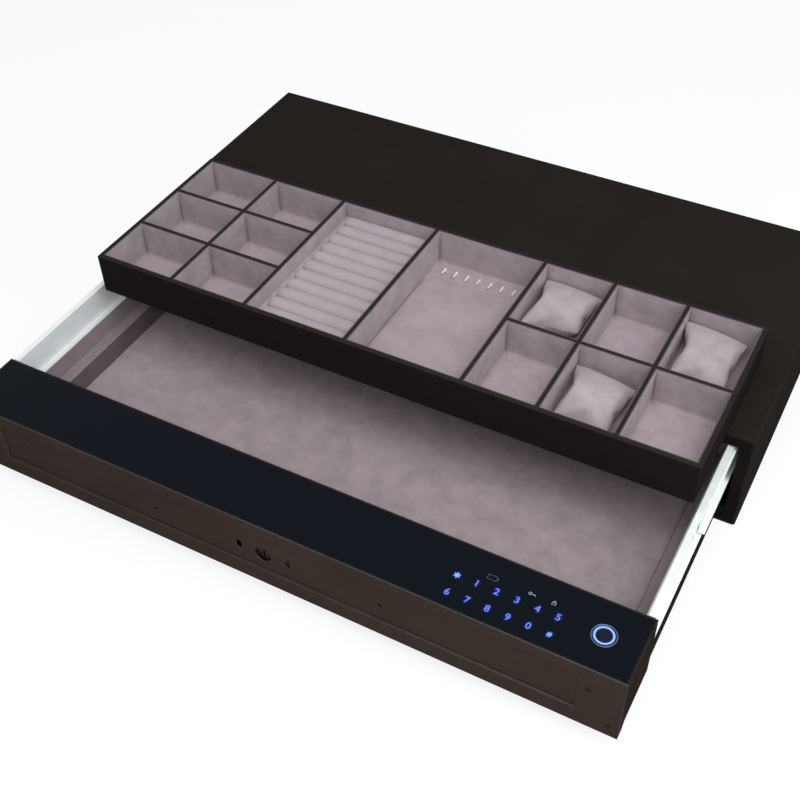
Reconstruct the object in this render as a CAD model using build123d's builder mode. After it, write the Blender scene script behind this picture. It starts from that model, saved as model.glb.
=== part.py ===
from build123d import *
import math
import os

# A drawer safe with a touch keypad, a fingerprint reader and a loose jewellery tray.
# Sizes are in millimetres. X runs to the right, Y to the back of the housing and Z up.
# The origin is the centre of the four anchor holes, on the housing's underside.
# The drawer stands drawn out in front of the housing, and the tray lies on top of it.

# Housing
housing_width = 837
housing_depth = 393
housing_height = 136
housing_sheet = 3
housing_corner_radius = 4
frame_side = 16
frame_top = 15
frame_bottom = 22
frame_sheet = 2
frame_return = 25
anchor_spacing_x = 600
anchor_spacing_y = 250
anchor_hole_radius = 4.5

# Drawer head
drawer_travel = 330
drawer_clearance = 2.5
head_depth = 81
head_sheet = 1.5
head_step = 9
lip_depth = 12
lip_slant = 5
glass_thickness = 4
glass_gap = 0.3
glass_ledge = 5
front_tab_gap = 1.5
recess_side_margin = 45
recess_rise = 21
recess_top_margin = 16
recess_depth = 2
recess_corner_radius = 12
recess_foot_radius = 3

# Drawer pan and its lining
pan_length = 303
pan_wall_rise = 21.5
pan_sheet = 1.5
floor_lining = 3
wall_lining = 5
ledge_width = 14
ledge_height = 24.5
ledge_slant = 4.5
lining_step_gap = 3.5
end_lining = 3
trim_thickness = 1.5

# Telescopic slides
slide_length = 300
slide_end_gap = 1
slide_height = 60
slide_thickness = 12.7
slide_sheet = 1.5
slide_channel_depth = 7
slide_step = 5
slide_side_gap = 1.2
rail_clearance = 0.3
rail_sheet = 2
rail_margin = 2.5
ball_radius = 2
race_clearance = 0.15
cage_clearance = 0.05
cage_sheet = 0.8
cage_side_gap = 0.5
cage_length = 120
balls_per_strip = 9

# Keypad and fingerprint reader
keypad_columns = 6
keypad_rows = 2
key_pitch_x = 21.4
key_pitch_y = 22
keypad_from_side = 138.5
keypad_centre_from_front = 29
light_guide_margin = 6
light_guide_thickness = 2
board_thickness = 1.6
led_size = 3
led_height = 1
led_pocket_gap = 0.2
reader_from_side = 39
reader_flange_radius = 13
reader_tube_radius = 11.4
reader_light_radius = 10.5
reader_sensor_radius = 8.3
reader_flange_height = 0.8
reader_light_height = 0.6
reader_sensor_height = 0.4
reader_length = 11
reader_gap = 0.1
reader_nut_radius = 14
reader_nut_height = 4

# Lock
key_axis_height = 46
key_hole_radius = 10
key_slot_spacing = 60
key_slot_width = 6.5
key_slot_height = 12
key_slot_rise = 2
key_setback = 5
cylinder_radius = 9.5
cylinder_length = 27
shoulder_radius = 11.5
shoulder_length = 2
nut_radius = 13
nut_length = 3.5
plug_radius = 6.5
plug_clearance = 0.05
keyway_width = 2
keyway_height = 9
keyway_depth = 22
tail_width = 3
tail_height = 8
tail_length = 3.5
bracket_sheet = 2
bracket_half_width = 20
bracket_foot_half_width = 32
bracket_foot_depth = 35
bracket_head_room = 18
disc_radius = 13
disc_thickness = 4
disc_gap = 1
bolt_throw = 12
drive_pin_radius = 2
drive_pin_clearance = 0.5
drive_shaft_radius = 2
rod_thickness = 4
rod_gap = 1
rod_height = 8
fork_wall = 3
bolt_radius = 7
bolt_length = 28
bolt_setback = 1
bolt_hole_gap = 0.5
bolt_block_length = 10
guide_length = 14
guide_wall = 5
gearbox_width = 16
gearbox_height = 14
gearbox_length = 10
motor_radius = 6
motor_length = 16
strike_length = 35
strike_height = 41
strike_floor = 2.5

# Electronics and batteries
main_board_length = 150
main_board_depth = 50
main_board_from_side = 165
standoff_height = 6
standoff_radius = 3
standoff_inset = 5
battery_radius = 7.25
battery_length = 50.5
battery_tip_radius = 2.7
battery_tip_length = 1.5
battery_box_from_side = 117
battery_box_wall = 1.5
battery_gap = 0.5
battery_cover_margin = 6
battery_cover_sheet = 1.2

# Fasteners
panel_hole_spacing = 280
panel_hole_radius = 2.5
screw_radius = 1.5
screw_hole_gap = 0.1
screw_head_radius = 2.75
screw_head_height = 0.8
screw_length = 6
edge_screw_inset = 11
edge_screw_height = 14.5
inner_screw_inset = 35.5
inner_screw_height = 59.5
rail_screw_count = 3
rail_screw_inset = 30
cover_screw_inset = 3

# Jewellery tray
tray_width = 750
tray_depth = 238
tray_height = 52
tray_offset_x = 10.5
tray_overhang = 111
tray_wall = 6
tray_board = 5
divider_sheet = 5
tray_lining = 1.5
lining_gap = 0.3
small_cell_width = 97
ring_cell_width = 128
watch_cell_width = 82.5
small_row_count = 3
watch_row_count = 2
ring_roll_pitch = 19.6
ring_roll_drop = 15
ring_margin = 7
ring_strip_rise = 0.7
pad_thickness = 10
pad_margin = 3
pad_corner_radius = 24
pad_hook_gap = 7
hook_margin = 22
hook_pitch = 15.65
hook_row_offset = 4.3
hook_wire_radius = 1.1
hook_from_wall = 16.8
hook_reach = 11
hook_rise = 4.8
hook_bend_radius = 1.8
pillow_side_gap = 6.25
pillow_end_gap = 11.25
pillow_height = 38
pillow_corner_radius = 14
pillow_edge_radius = 9

# Shared allowance that cuts run past a face
overrun = 1

# Places worked out from the sizes above
opening_width = housing_width - 2 * frame_side
opening_height = housing_height - frame_top - frame_bottom
housing_front = -housing_depth / 2
housing_rear = housing_depth / 2
housing_inner_half = housing_width / 2 - housing_sheet
head_half = opening_width / 2 - drawer_clearance
head_height = opening_height - 2 * drawer_clearance
head_bottom = frame_bottom + drawer_clearance
head_top = head_bottom + head_height
head_front = housing_front - drawer_travel
head_rear = head_front + head_depth
case_front = head_front + head_sheet
case_bottom = head_bottom + head_step
case_floor = case_bottom + head_sheet
pan_rear = head_rear + pan_length
slide_bottom = head_top - slide_height
slide_centre_z = head_top - slide_height / 2
rail_face = opening_width / 2 - rail_clearance
pan_half = rail_face - slide_thickness
pan_foot_half = pan_half + slide_channel_depth
pan_top = slide_bottom + pan_wall_rise
lining_floor = head_bottom + pan_sheet + floor_lining
ledge_top = lining_floor + ledge_height
lining_half = pan_half - pan_sheet - wall_lining
key_axis_z = head_bottom + key_axis_height
recess_half_width = head_half - recess_side_margin
keypad_centre_x = head_half - keypad_from_side
reader_x = head_half - reader_from_side
main_board_x = head_half - main_board_from_side
battery_box_x = battery_box_from_side - head_half
glass_bottom = head_top - glass_thickness


def block(x, y, z, mode=Mode.ADD):
    """Add or cut a box given by its two ends along each axis."""
    centre = ((x[0] + x[1]) / 2, (y[0] + y[1]) / 2, (z[0] + z[1]) / 2)
    with Locations(centre):
        Box(x[1] - x[0], y[1] - y[0], z[1] - z[0], mode=mode)


def rod_y(x, z, radius, y, mode=Mode.ADD):
    """Add or cut a cylinder along Y between its two ends."""
    with Locations(Location((x, (y[0] + y[1]) / 2, z), (90, 0, 0))):
        Cylinder(radius, y[1] - y[0], mode=mode)


def rod_x(y, z, radius, x, mode=Mode.ADD):
    """Add or cut a cylinder along X between its two ends."""
    with Locations(Location(((x[0] + x[1]) / 2, y, z), (0, 90, 0))):
        Cylinder(radius, x[1] - x[0], mode=mode)


def rod_z(x, y, radius, z, mode=Mode.ADD):
    """Add or cut a cylinder along Z between its two ends."""
    with Locations((x, y, (z[0] + z[1]) / 2)):
        Cylinder(radius, z[1] - z[0], mode=mode)


def write(piece, name):
    """Label a finished piece and write it as one STEP file."""
    piece.part.label = name
    export_step(piece.part, f"parts/{name}.step")


def write_pair(piece, name):
    """Write a right-hand piece, and its mirror image for the left-hand side."""
    with BuildPart() as twin:
        add(piece.part)
        mirror(about=Plane.YZ, mode=Mode.REPLACE)
    write(piece, f"right_{name}")
    write(twin, f"left_{name}")


os.makedirs("parts", exist_ok=True)

# Housing shell, one sheet folded round the top, the sides and the bottom
with BuildPart() as housing_shell:
    with BuildSketch(Plane.XZ.offset(-housing_rear)):
        with Locations((0, housing_height / 2)):
            RectangleRounded(housing_width, housing_height, housing_corner_radius)
            RectangleRounded(
                housing_width - 2 * housing_sheet,
                housing_height - 2 * housing_sheet,
                housing_corner_radius - housing_sheet,
                mode=Mode.SUBTRACT,
            )
    extrude(amount=housing_depth)
    with GridLocations(anchor_spacing_x, anchor_spacing_y, 2, 2):
        Cylinder(anchor_hole_radius, 2 * (housing_sheet + overrun), mode=Mode.SUBTRACT)
write(housing_shell, "housing_shell")

# Back plate, let into the shell and welded round its edge
with BuildPart() as housing_back:
    with BuildSketch(Plane.XZ.offset(-housing_rear)):
        with Locations((0, housing_height / 2)):
            RectangleRounded(
                housing_width - 2 * housing_sheet,
                housing_height - 2 * housing_sheet,
                housing_corner_radius - housing_sheet,
            )
    extrude(amount=housing_sheet)
write(housing_back, "housing_back")

# Front frame, a pressed frame with its opening's edges turned back into the housing
with BuildPart() as front_frame:
    opening_x = (-opening_width / 2, opening_width / 2)
    opening_z = (frame_bottom, frame_bottom + opening_height)
    frame_y = (housing_front, housing_front + frame_return)
    block(
        (-housing_inner_half, housing_inner_half),
        (housing_front, housing_front + frame_sheet),
        (housing_sheet, housing_height - housing_sheet),
    )
    fillet(front_frame.edges().filter_by(Axis.Y), housing_corner_radius - housing_sheet)
    block(
        (opening_x[0] - frame_sheet, opening_x[1] + frame_sheet),
        frame_y,
        (opening_z[0] - frame_sheet, opening_z[1] + frame_sheet),
    )
    block(
        opening_x,
        (housing_front - overrun, frame_y[1] + overrun),
        opening_z,
        mode=Mode.SUBTRACT,
    )
write(front_frame, "front_frame")

# Slide rails, channels welded to the shell's sides that carry the slides
rail_front = head_rear + drawer_travel + slide_end_gap
rail_y = (rail_front, rail_front + slide_length)
rail_z = (slide_bottom - rail_margin, head_top + rail_margin)
rail_screw_pitch = (slide_length - 2 * rail_screw_inset) / (rail_screw_count - 1)
rail_screws_y = [
    rail_y[0] + rail_screw_inset + index * rail_screw_pitch for index in range(rail_screw_count)
]
screw_hole_radius = screw_radius + screw_hole_gap

with BuildPart() as slide_rail:
    block((rail_face, housing_inner_half), rail_y, rail_z)
    block(
        (rail_face + rail_sheet, housing_inner_half + overrun),
        (rail_y[0] - overrun, rail_y[1] + overrun),
        (rail_z[0] + rail_sheet, rail_z[1] - rail_sheet),
        mode=Mode.SUBTRACT,
    )
    for screw_y in rail_screws_y:
        rod_x(
            screw_y,
            slide_centre_z,
            screw_hole_radius,
            (rail_face - overrun, rail_face + rail_sheet + overrun),
            mode=Mode.SUBTRACT,
        )
write_pair(slide_rail, "slide_rail")

# The three members of a slide are channels of folded strip, one inside the other
drawer_member_x = (pan_half, pan_half + slide_channel_depth)
middle_member_x = (
    drawer_member_x[0] + slide_sheet + slide_side_gap,
    rail_face - slide_sheet - slide_side_gap,
)
fixed_member_x = (middle_member_x[0] + slide_sheet + slide_side_gap, rail_face)
half_heights = [slide_height / 2 - step * slide_step for step in range(3)]
drawer_member_y = tuple(place - drawer_travel for place in rail_y)
middle_member_y = tuple(place - drawer_travel / 2 for place in rail_y)

# Ball tracks lie half way between the flanges that face each other
outer_track_x = (middle_member_x[0] + drawer_member_x[1]) / 2
inner_track_x = (fixed_member_x[0] + middle_member_x[1]) / 2
track_offset = (slide_step + slide_sheet) / 2
outer_track_half = half_heights[0] - track_offset
inner_track_half = half_heights[1] - track_offset


def cut_track(x, half, y):
    """Cut the pair of ball grooves above and below the slide's centre line."""
    for side in (-1, 1):
        rod_y(
            x,
            slide_centre_z + side * half,
            ball_radius + race_clearance,
            (y[0] - overrun, y[1] + overrun),
            mode=Mode.SUBTRACT,
        )


def channel(x, y, half, open_outwards):
    """Add a channel of folded strip with its web on the side that isn't open."""
    z = (slide_centre_z - half, slide_centre_z + half)
    inner_x = (x[0] + slide_sheet, x[1] + overrun)
    if not open_outwards:
        inner_x = (x[0] - overrun, x[1] - slide_sheet)
    block(x, y, z)
    block(
        inner_x,
        (y[0] - overrun, y[1] + overrun),
        (z[0] + slide_sheet, z[1] - slide_sheet),
        mode=Mode.SUBTRACT,
    )


with BuildPart() as slide_fixed:
    channel(fixed_member_x, rail_y, half_heights[2], open_outwards=False)
    cut_track(inner_track_x, inner_track_half, rail_y)
    for screw_y in rail_screws_y:
        rod_x(
            screw_y,
            slide_centre_z,
            screw_hole_radius,
            (rail_face - slide_sheet - overrun, rail_face + overrun),
            mode=Mode.SUBTRACT,
        )
write_pair(slide_fixed, "slide_fixed")

with BuildPart() as slide_middle:
    channel(middle_member_x, middle_member_y, half_heights[1], open_outwards=True)
    cut_track(outer_track_x, outer_track_half, middle_member_y)
    cut_track(inner_track_x, inner_track_half, middle_member_y)
write_pair(slide_middle, "slide_middle")

pan_screws_y = [place - drawer_travel for place in rail_screws_y]
pan_screw_z = (slide_bottom + pan_top) / 2

with BuildPart() as slide_drawer:
    channel(drawer_member_x, drawer_member_y, half_heights[0], open_outwards=True)
    cut_track(outer_track_x, outer_track_half, drawer_member_y)
    for screw_y in pan_screws_y:
        rod_x(
            screw_y,
            pan_screw_z,
            screw_hole_radius,
            (pan_half - overrun, pan_half + slide_sheet + overrun),
            mode=Mode.SUBTRACT,
        )
write_pair(slide_drawer, "slide_drawer")


# Ball cages, thin strips that space the balls along each track
def ball_strips(x, half, strip_x, centre_y):
    """Add the upper and lower strip of a cage with their balls."""
    ball_pitch = cage_length / balls_per_strip
    first_ball = centre_y - cage_length / 2 + ball_pitch / 2
    balls_y = [first_ball + index * ball_pitch for index in range(balls_per_strip)]
    for side in (-1, 1):
        strip_z = slide_centre_z + side * half
        block(
            strip_x,
            (centre_y - cage_length / 2, centre_y + cage_length / 2),
            (strip_z - cage_sheet / 2, strip_z + cage_sheet / 2),
        )
        for ball_y in balls_y:
            rod_z(
                x,
                ball_y,
                ball_radius + cage_clearance,
                (strip_z - ball_radius, strip_z + ball_radius),
                mode=Mode.SUBTRACT,
            )
    with Locations(
        [(x, ball_y, slide_centre_z + side * half) for side in (-1, 1) for ball_y in balls_y]
    ):
        Sphere(ball_radius)


with BuildPart() as outer_balls:
    ball_strips(
        outer_track_x,
        outer_track_half,
        (drawer_member_x[0] + slide_sheet + cage_side_gap, drawer_member_x[1]),
        (middle_member_y[0] + drawer_member_y[1]) / 2,
    )
write_pair(outer_balls, "outer_balls")

with BuildPart() as inner_balls:
    ball_strips(
        inner_track_x,
        inner_track_half,
        (
            middle_member_x[0] + slide_sheet + cage_side_gap,
            rail_face - slide_sheet - cage_side_gap,
        ),
        (rail_y[0] + middle_member_y[1]) / 2,
    )
write_pair(inner_balls, "inner_balls")

# Slide screws, three on each side for the rails and three for the pan
with BuildPart() as rail_screws:
    rail_head_x = rail_face - slide_sheet
    for screw_y in rail_screws_y:
        rod_x(
            screw_y,
            slide_centre_z,
            screw_head_radius,
            (rail_head_x - screw_head_height, rail_head_x),
        )
        rod_x(screw_y, slide_centre_z, screw_radius, (rail_head_x, rail_head_x + screw_length))
    mirror(about=Plane.YZ)
write(rail_screws, "rail_screws")

with BuildPart() as pan_screws:
    pan_head_x = pan_half + slide_sheet
    pan_screw_end = pan_half - pan_sheet - wall_lining / 2
    for screw_y in pan_screws_y:
        rod_x(
            screw_y,
            pan_screw_z,
            screw_head_radius,
            (pan_head_x, pan_head_x + screw_head_height),
        )
        rod_x(screw_y, pan_screw_z, screw_radius, (pan_screw_end, pan_head_x))
    mirror(about=Plane.YZ)
write(pan_screws, "pan_screws")

# Strikes, steel blocks behind the frame that the lock's bolts enter when the drawer is shut
rod_plane_y = (
    head_front + key_setback + cylinder_length + tail_length + disc_gap + disc_thickness + rod_gap
)
rod_y_range = (rod_plane_y, rod_plane_y + rod_thickness)
bolt_y = (rod_y_range[0] + rod_y_range[1]) / 2
strike_y = bolt_y + drawer_travel

with BuildPart() as bolt_strikes:
    block(
        (opening_width / 2, housing_inner_half),
        (strike_y - strike_length / 2, strike_y + strike_length / 2),
        (key_axis_z - strike_height / 2, key_axis_z + strike_height / 2),
    )
    rod_x(
        strike_y,
        key_axis_z,
        bolt_radius + bolt_hole_gap,
        (opening_width / 2 - overrun, housing_inner_half - strike_floor),
        mode=Mode.SUBTRACT,
    )
    mirror(about=Plane.YZ)
write(bolt_strikes, "bolt_strikes")


# Drawer pan, folded from one sheet with a step in each side for the slide
def pan_outline(inset):
    """Draw the pan's section, or the space inside it when inset is the sheet's thickness."""
    foot = pan_foot_half - inset
    wall = pan_half - inset
    step_z = slide_bottom - inset
    top_z = pan_top + (overrun if inset else 0)
    bottom_z = head_bottom + inset
    Polyline(
        (-wall, top_z),
        (-wall, step_z),
        (-foot, step_z),
        (-foot, bottom_z),
        (foot, bottom_z),
        (foot, step_z),
        (wall, step_z),
        (wall, top_z),
        close=True,
    )


with BuildPart() as drawer_pan:
    with BuildSketch(Plane.XZ.offset(-pan_rear)):
        with BuildLine():
            pan_outline(0)
        make_face()
    extrude(amount=pan_length)
    with BuildSketch(Plane.XZ.offset(-pan_rear + pan_sheet)):
        with BuildLine():
            pan_outline(pan_sheet)
        make_face()
    extrude(amount=pan_length, mode=Mode.SUBTRACT)
    for screw_y in pan_screws_y:
        rod_x(
            screw_y,
            pan_screw_z,
            screw_hole_radius,
            (-pan_half - overrun, pan_half + overrun),
            mode=Mode.SUBTRACT,
        )
write(drawer_pan, "drawer_pan")

# Linings, boards wrapped in suede cloth that line the drawer
lining_y = (head_rear + end_lining, pan_rear - pan_sheet - end_lining)

with BuildPart() as floor_pad:
    block(
        (-pan_foot_half + pan_sheet, pan_foot_half - pan_sheet),
        (head_rear, pan_rear - pan_sheet),
        (head_bottom + pan_sheet, lining_floor),
    )
write(floor_pad, "floor_pad")

lining_step = slide_bottom - pan_sheet - lining_step_gap

with BuildPart() as side_lining:
    with BuildSketch(Plane.XZ.offset(-lining_y[1])):
        with BuildLine():
            Polyline(
                (lining_half - ledge_width - ledge_slant, lining_floor),
                (pan_foot_half - pan_sheet, lining_floor),
                (pan_foot_half - pan_sheet, lining_step),
                (pan_half - pan_sheet, lining_step),
                (pan_half - pan_sheet, pan_top),
                (lining_half, pan_top),
                (lining_half, ledge_top),
                (lining_half - ledge_width, ledge_top),
                close=True,
            )
        make_face()
    extrude(amount=lining_y[1] - lining_y[0])
    for screw_y in pan_screws_y:
        rod_x(
            screw_y,
            pan_screw_z,
            screw_hole_radius,
            (pan_half - pan_sheet - wall_lining / 2, pan_half),
            mode=Mode.SUBTRACT,
        )
write_pair(side_lining, "side_lining")

end_lining_x = (-pan_half + pan_sheet, pan_half - pan_sheet)

with BuildPart() as front_lining:
    block(end_lining_x, (head_rear, lining_y[0]), (lining_floor, pan_top))
write(front_lining, "front_lining")

with BuildPart() as rear_lining:
    block(end_lining_x, (lining_y[1], pan_rear - pan_sheet), (lining_floor, pan_top))
write(rear_lining, "rear_lining")

# Edge trims, bright strips that cap the pan's sides
with BuildPart() as edge_trims:
    block((lining_half, pan_half), (head_rear, pan_rear), (pan_top, pan_top + trim_thickness))
    mirror(about=Plane.YZ)
write(edge_trims, "edge_trims")

# Head case, a folded tray of sheet that holds the lock and the electronics
case_inner_half = head_half - head_sheet
battery_box_half_x = battery_length + battery_gap + battery_box_wall
battery_box_half_y = 2 * battery_radius + battery_gap + battery_box_wall
case_middle_y = (case_front + head_rear) / 2

with BuildPart() as head_case:
    block((-head_half, head_half), (case_front, head_rear), (case_bottom, head_top))
    block(
        (-case_inner_half, case_inner_half),
        (case_front - overrun, head_rear - head_sheet),
        (case_floor, head_top + overrun),
        mode=Mode.SUBTRACT,
    )
    for side in (-1, 1):
        tab_ends = sorted((side * case_inner_half, side * (recess_half_width + front_tab_gap)))
        block(tab_ends, (case_front, case_front + head_sheet), (case_floor, glass_bottom))
    ledge_z = (glass_bottom - head_sheet, glass_bottom)
    block((-case_inner_half, case_inner_half), (case_front, head_rear - head_sheet), ledge_z)
    block(
        (-case_inner_half + glass_ledge, case_inner_half - glass_ledge),
        (case_front + glass_ledge, head_rear - head_sheet - glass_ledge),
        ledge_z,
        mode=Mode.SUBTRACT,
    )
    for side in (-1, 1):
        wall_ends = sorted((side * (case_inner_half - overrun), side * (head_half + overrun)))
        rod_x(bolt_y, key_axis_z, bolt_radius + bolt_hole_gap, wall_ends, mode=Mode.SUBTRACT)
        for inset, height in (
            (edge_screw_inset, edge_screw_height),
            (inner_screw_inset, inner_screw_height),
        ):
            rod_y(
                side * (head_half - inset),
                head_bottom + height,
                screw_hole_radius,
                (case_front - overrun, case_front + head_sheet + overrun),
                mode=Mode.SUBTRACT,
            )
    block(
        (
            battery_box_x - battery_box_half_x + battery_box_wall,
            battery_box_x + battery_box_half_x - battery_box_wall,
        ),
        (
            case_middle_y - battery_box_half_y + battery_box_wall,
            case_middle_y + battery_box_half_y - battery_box_wall,
        ),
        (case_bottom - overrun, case_floor + overrun),
        mode=Mode.SUBTRACT,
    )
    cover_screws_x = [
        battery_box_x + side * (battery_box_half_x + cover_screw_inset) for side in (-1, 1)
    ]
    for cover_screw_x in cover_screws_x:
        rod_z(
            cover_screw_x,
            case_middle_y,
            screw_hole_radius,
            (case_bottom - overrun, case_floor + overrun),
            mode=Mode.SUBTRACT,
        )
write(head_case, "head_case")

# Front plate, with a shallow pressed panel, the key hole and the holes of a furniture front
recess_height = head_height - recess_rise - recess_top_margin
recess_centre_z = head_bottom + recess_rise + recess_height / 2


def recess_outline(panel, inset):
    """Draw the recess in a sketch, its top corners rounder than its bottom ones."""
    with Locations((0, recess_centre_z)):
        Rectangle(2 * (recess_half_width - inset), recess_height - 2 * inset)
    fillet(panel.vertices().group_by(Axis.Y)[-1], recess_corner_radius - inset)
    fillet(panel.vertices().group_by(Axis.Y)[0], recess_foot_radius - inset)


with BuildPart() as front_plate:
    block((-head_half, head_half), (head_front, case_front), (head_bottom, head_top))
    block(
        (-head_half, head_half),
        (head_front, head_front + lip_depth),
        (head_bottom, head_bottom + head_sheet),
    )
    for side in (-1, 1):
        with BuildSketch(Plane.YZ.offset(side * head_half)):
            with BuildLine():
                Polyline(
                    (head_front, head_bottom),
                    (head_front + lip_depth, head_bottom),
                    (head_front + lip_depth + lip_slant, case_bottom),
                    (head_front, case_bottom),
                    close=True,
                )
            make_face()
        extrude(amount=-side * head_sheet)
    with BuildSketch(Plane.XZ.offset(-case_front)) as pressed_panel:
        recess_outline(pressed_panel, 0)
    extrude(amount=-recess_depth)
    with BuildSketch(Plane.XZ.offset(-head_front)) as open_panel:
        recess_outline(open_panel, head_sheet)
    extrude(amount=-recess_depth, mode=Mode.SUBTRACT)
    with BuildSketch(Plane.XZ.offset(-head_front + overrun)):
        with Locations((0, key_axis_z)):
            Circle(key_hole_radius)
            with GridLocations(panel_hole_spacing, 0, 2, 1):
                Circle(panel_hole_radius)
        with Locations((0, key_axis_z + key_slot_rise)):
            with GridLocations(key_slot_spacing, 0, 2, 1):
                SlotOverall(key_slot_height, key_slot_width, rotation=90)
        for side in (-1, 1):
            with Locations(
                (side * (head_half - edge_screw_inset), head_bottom + edge_screw_height),
                (side * (head_half - inner_screw_inset), head_bottom + inner_screw_height),
            ):
                Circle(screw_hole_radius)
    extrude(amount=-(head_sheet + recess_depth + 2 * overrun), mode=Mode.SUBTRACT)
write(front_plate, "front_plate")

# Front screws, which hold the plate to the case's tabs
with BuildPart() as front_screws:
    for side in (-1, 1):
        for inset, height in (
            (edge_screw_inset, edge_screw_height),
            (inner_screw_inset, inner_screw_height),
        ):
            screw_centre_x = side * (head_half - inset)
            screw_centre_z = head_bottom + height
            rod_y(
                screw_centre_x,
                screw_centre_z,
                screw_head_radius,
                (head_front - screw_head_height, head_front),
            )
            rod_y(
                screw_centre_x,
                screw_centre_z,
                screw_radius,
                (head_front, head_front + screw_length),
            )
write(front_screws, "front_screws")

# Glass top, let into the case so that the sheet's edge shows round it
reader_y = (head_front + head_rear) / 2

with BuildPart() as glass_top:
    block(
        (-case_inner_half + glass_gap, case_inner_half - glass_gap),
        (case_front + glass_gap, head_rear - head_sheet - glass_gap),
        (glass_bottom, head_top),
    )
    rod_z(
        reader_x,
        reader_y,
        reader_tube_radius + reader_gap,
        (glass_bottom - overrun, head_top + overrun),
        mode=Mode.SUBTRACT,
    )
write(glass_top, "glass_top")

# Keypad under the glass: a light guide, its board and one light for each key
keypad_y = head_front + keypad_centre_from_front
guide_half_x = (keypad_columns * key_pitch_x + light_guide_margin) / 2
guide_half_y = keypad_rows * key_pitch_y / 2
guide_bottom = glass_bottom - light_guide_thickness
led_pocket = led_size + 2 * led_pocket_gap
keypad_plane = Plane((keypad_centre_x, keypad_y, guide_bottom))

with BuildPart() as keypad_light_guide:
    block(
        (keypad_centre_x - guide_half_x, keypad_centre_x + guide_half_x),
        (keypad_y - guide_half_y, keypad_y + guide_half_y),
        (guide_bottom, glass_bottom),
    )
    with BuildSketch(keypad_plane):
        with GridLocations(key_pitch_x, key_pitch_y, keypad_columns, keypad_rows):
            Rectangle(led_pocket, led_pocket)
    extrude(amount=led_height + led_pocket_gap, mode=Mode.SUBTRACT)
write(keypad_light_guide, "keypad_light_guide")

with BuildPart() as keypad_lights:
    with BuildSketch(keypad_plane):
        with GridLocations(key_pitch_x, key_pitch_y, keypad_columns, keypad_rows):
            Rectangle(led_size, led_size)
    extrude(amount=led_height)
write(keypad_lights, "keypad_lights")

with BuildPart() as keypad_board:
    block(
        (keypad_centre_x - guide_half_x, keypad_centre_x + guide_half_x),
        (keypad_y - guide_half_y, keypad_y + guide_half_y),
        (guide_bottom - board_thickness, guide_bottom),
    )
write(keypad_board, "keypad_board")

# Fingerprint reader: a bezel through the glass, a ring light, the sensor and a nut below
reader_bottom = head_top - reader_length
light_outer_radius = reader_light_radius
light_inner_radius = reader_sensor_radius + reader_gap

with BuildPart() as reader_bezel:
    rod_z(reader_x, reader_y, reader_flange_radius, (head_top, head_top + reader_flange_height))
    rod_z(
        reader_x,
        reader_y,
        reader_tube_radius,
        (reader_bottom, head_top + reader_flange_height),
    )
    rod_z(
        reader_x,
        reader_y,
        light_outer_radius + reader_gap,
        (reader_bottom - overrun, head_top + reader_flange_height + overrun),
        mode=Mode.SUBTRACT,
    )
write(reader_bezel, "reader_bezel")

with BuildPart() as reader_light:
    rod_z(reader_x, reader_y, light_outer_radius, (reader_bottom, head_top + reader_light_height))
    rod_z(
        reader_x,
        reader_y,
        light_inner_radius,
        (reader_bottom - overrun, head_top + reader_light_height + overrun),
        mode=Mode.SUBTRACT,
    )
write(reader_light, "reader_light")

with BuildPart() as reader_sensor:
    rod_z(
        reader_x,
        reader_y,
        reader_sensor_radius,
        (reader_bottom, head_top + reader_sensor_height),
    )
write(reader_sensor, "reader_sensor")

with BuildPart() as reader_nut:
    with BuildSketch(Plane((reader_x, reader_y, glass_bottom))):
        RegularPolygon(reader_nut_radius, 6)
        Circle(reader_tube_radius + reader_gap, mode=Mode.SUBTRACT)
    extrude(amount=-reader_nut_height)
write(reader_nut, "reader_nut")

# Main board on four standoffs, with its connectors and chips
board_bottom = case_floor + standoff_height
board_top = board_bottom + board_thickness
board_x = (main_board_x - main_board_length / 2, main_board_x + main_board_length / 2)
board_y = (case_middle_y - main_board_depth / 2, case_middle_y + main_board_depth / 2)
standoff_span_x = main_board_length - 2 * standoff_inset
standoff_span_y = main_board_depth - 2 * standoff_inset

with BuildPart() as main_board:
    block(board_x, board_y, (board_bottom, board_top))
    chip_height = 2 * board_thickness
    chip_size_shares = ((0.1, 0.3), (0.06, 0.18), (0.05, 0.3))
    chip_place_shares = ((-0.2, 0), (0.1, 0.2), (0.32, -0.1))
    for size_shares, place_shares in zip(chip_size_shares, chip_place_shares):
        chip_x = main_board_x + place_shares[0] * main_board_length
        chip_y = case_middle_y + place_shares[1] * main_board_depth
        half_x = size_shares[0] * main_board_length / 2
        half_y = size_shares[1] * main_board_depth / 2
        block(
            (chip_x - half_x, chip_x + half_x),
            (chip_y - half_y, chip_y + half_y),
            (board_top, board_top + chip_height),
        )
write(main_board, "main_board")

with BuildPart() as board_standoffs:
    with Locations((main_board_x, case_middle_y, case_floor + standoff_height / 2)):
        with GridLocations(standoff_span_x, standoff_span_y, 2, 2):
            Cylinder(standoff_radius, standoff_height)
write(board_standoffs, "board_standoffs")

# Battery box over an opening in the case's bottom, with four cells and a screwed cover
battery_z = case_floor + battery_gap + battery_radius
battery_box_top = battery_z + battery_radius + battery_gap + battery_box_wall
box_x = (battery_box_x - battery_box_half_x, battery_box_x + battery_box_half_x)
box_y = (case_middle_y - battery_box_half_y, case_middle_y + battery_box_half_y)

with BuildPart() as battery_box:
    block(box_x, box_y, (case_floor, battery_box_top))
    block(
        (box_x[0] + battery_box_wall, box_x[1] - battery_box_wall),
        (box_y[0] + battery_box_wall, box_y[1] - battery_box_wall),
        (case_floor - overrun, battery_box_top - battery_box_wall),
        mode=Mode.SUBTRACT,
    )
write(battery_box, "battery_box")

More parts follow.
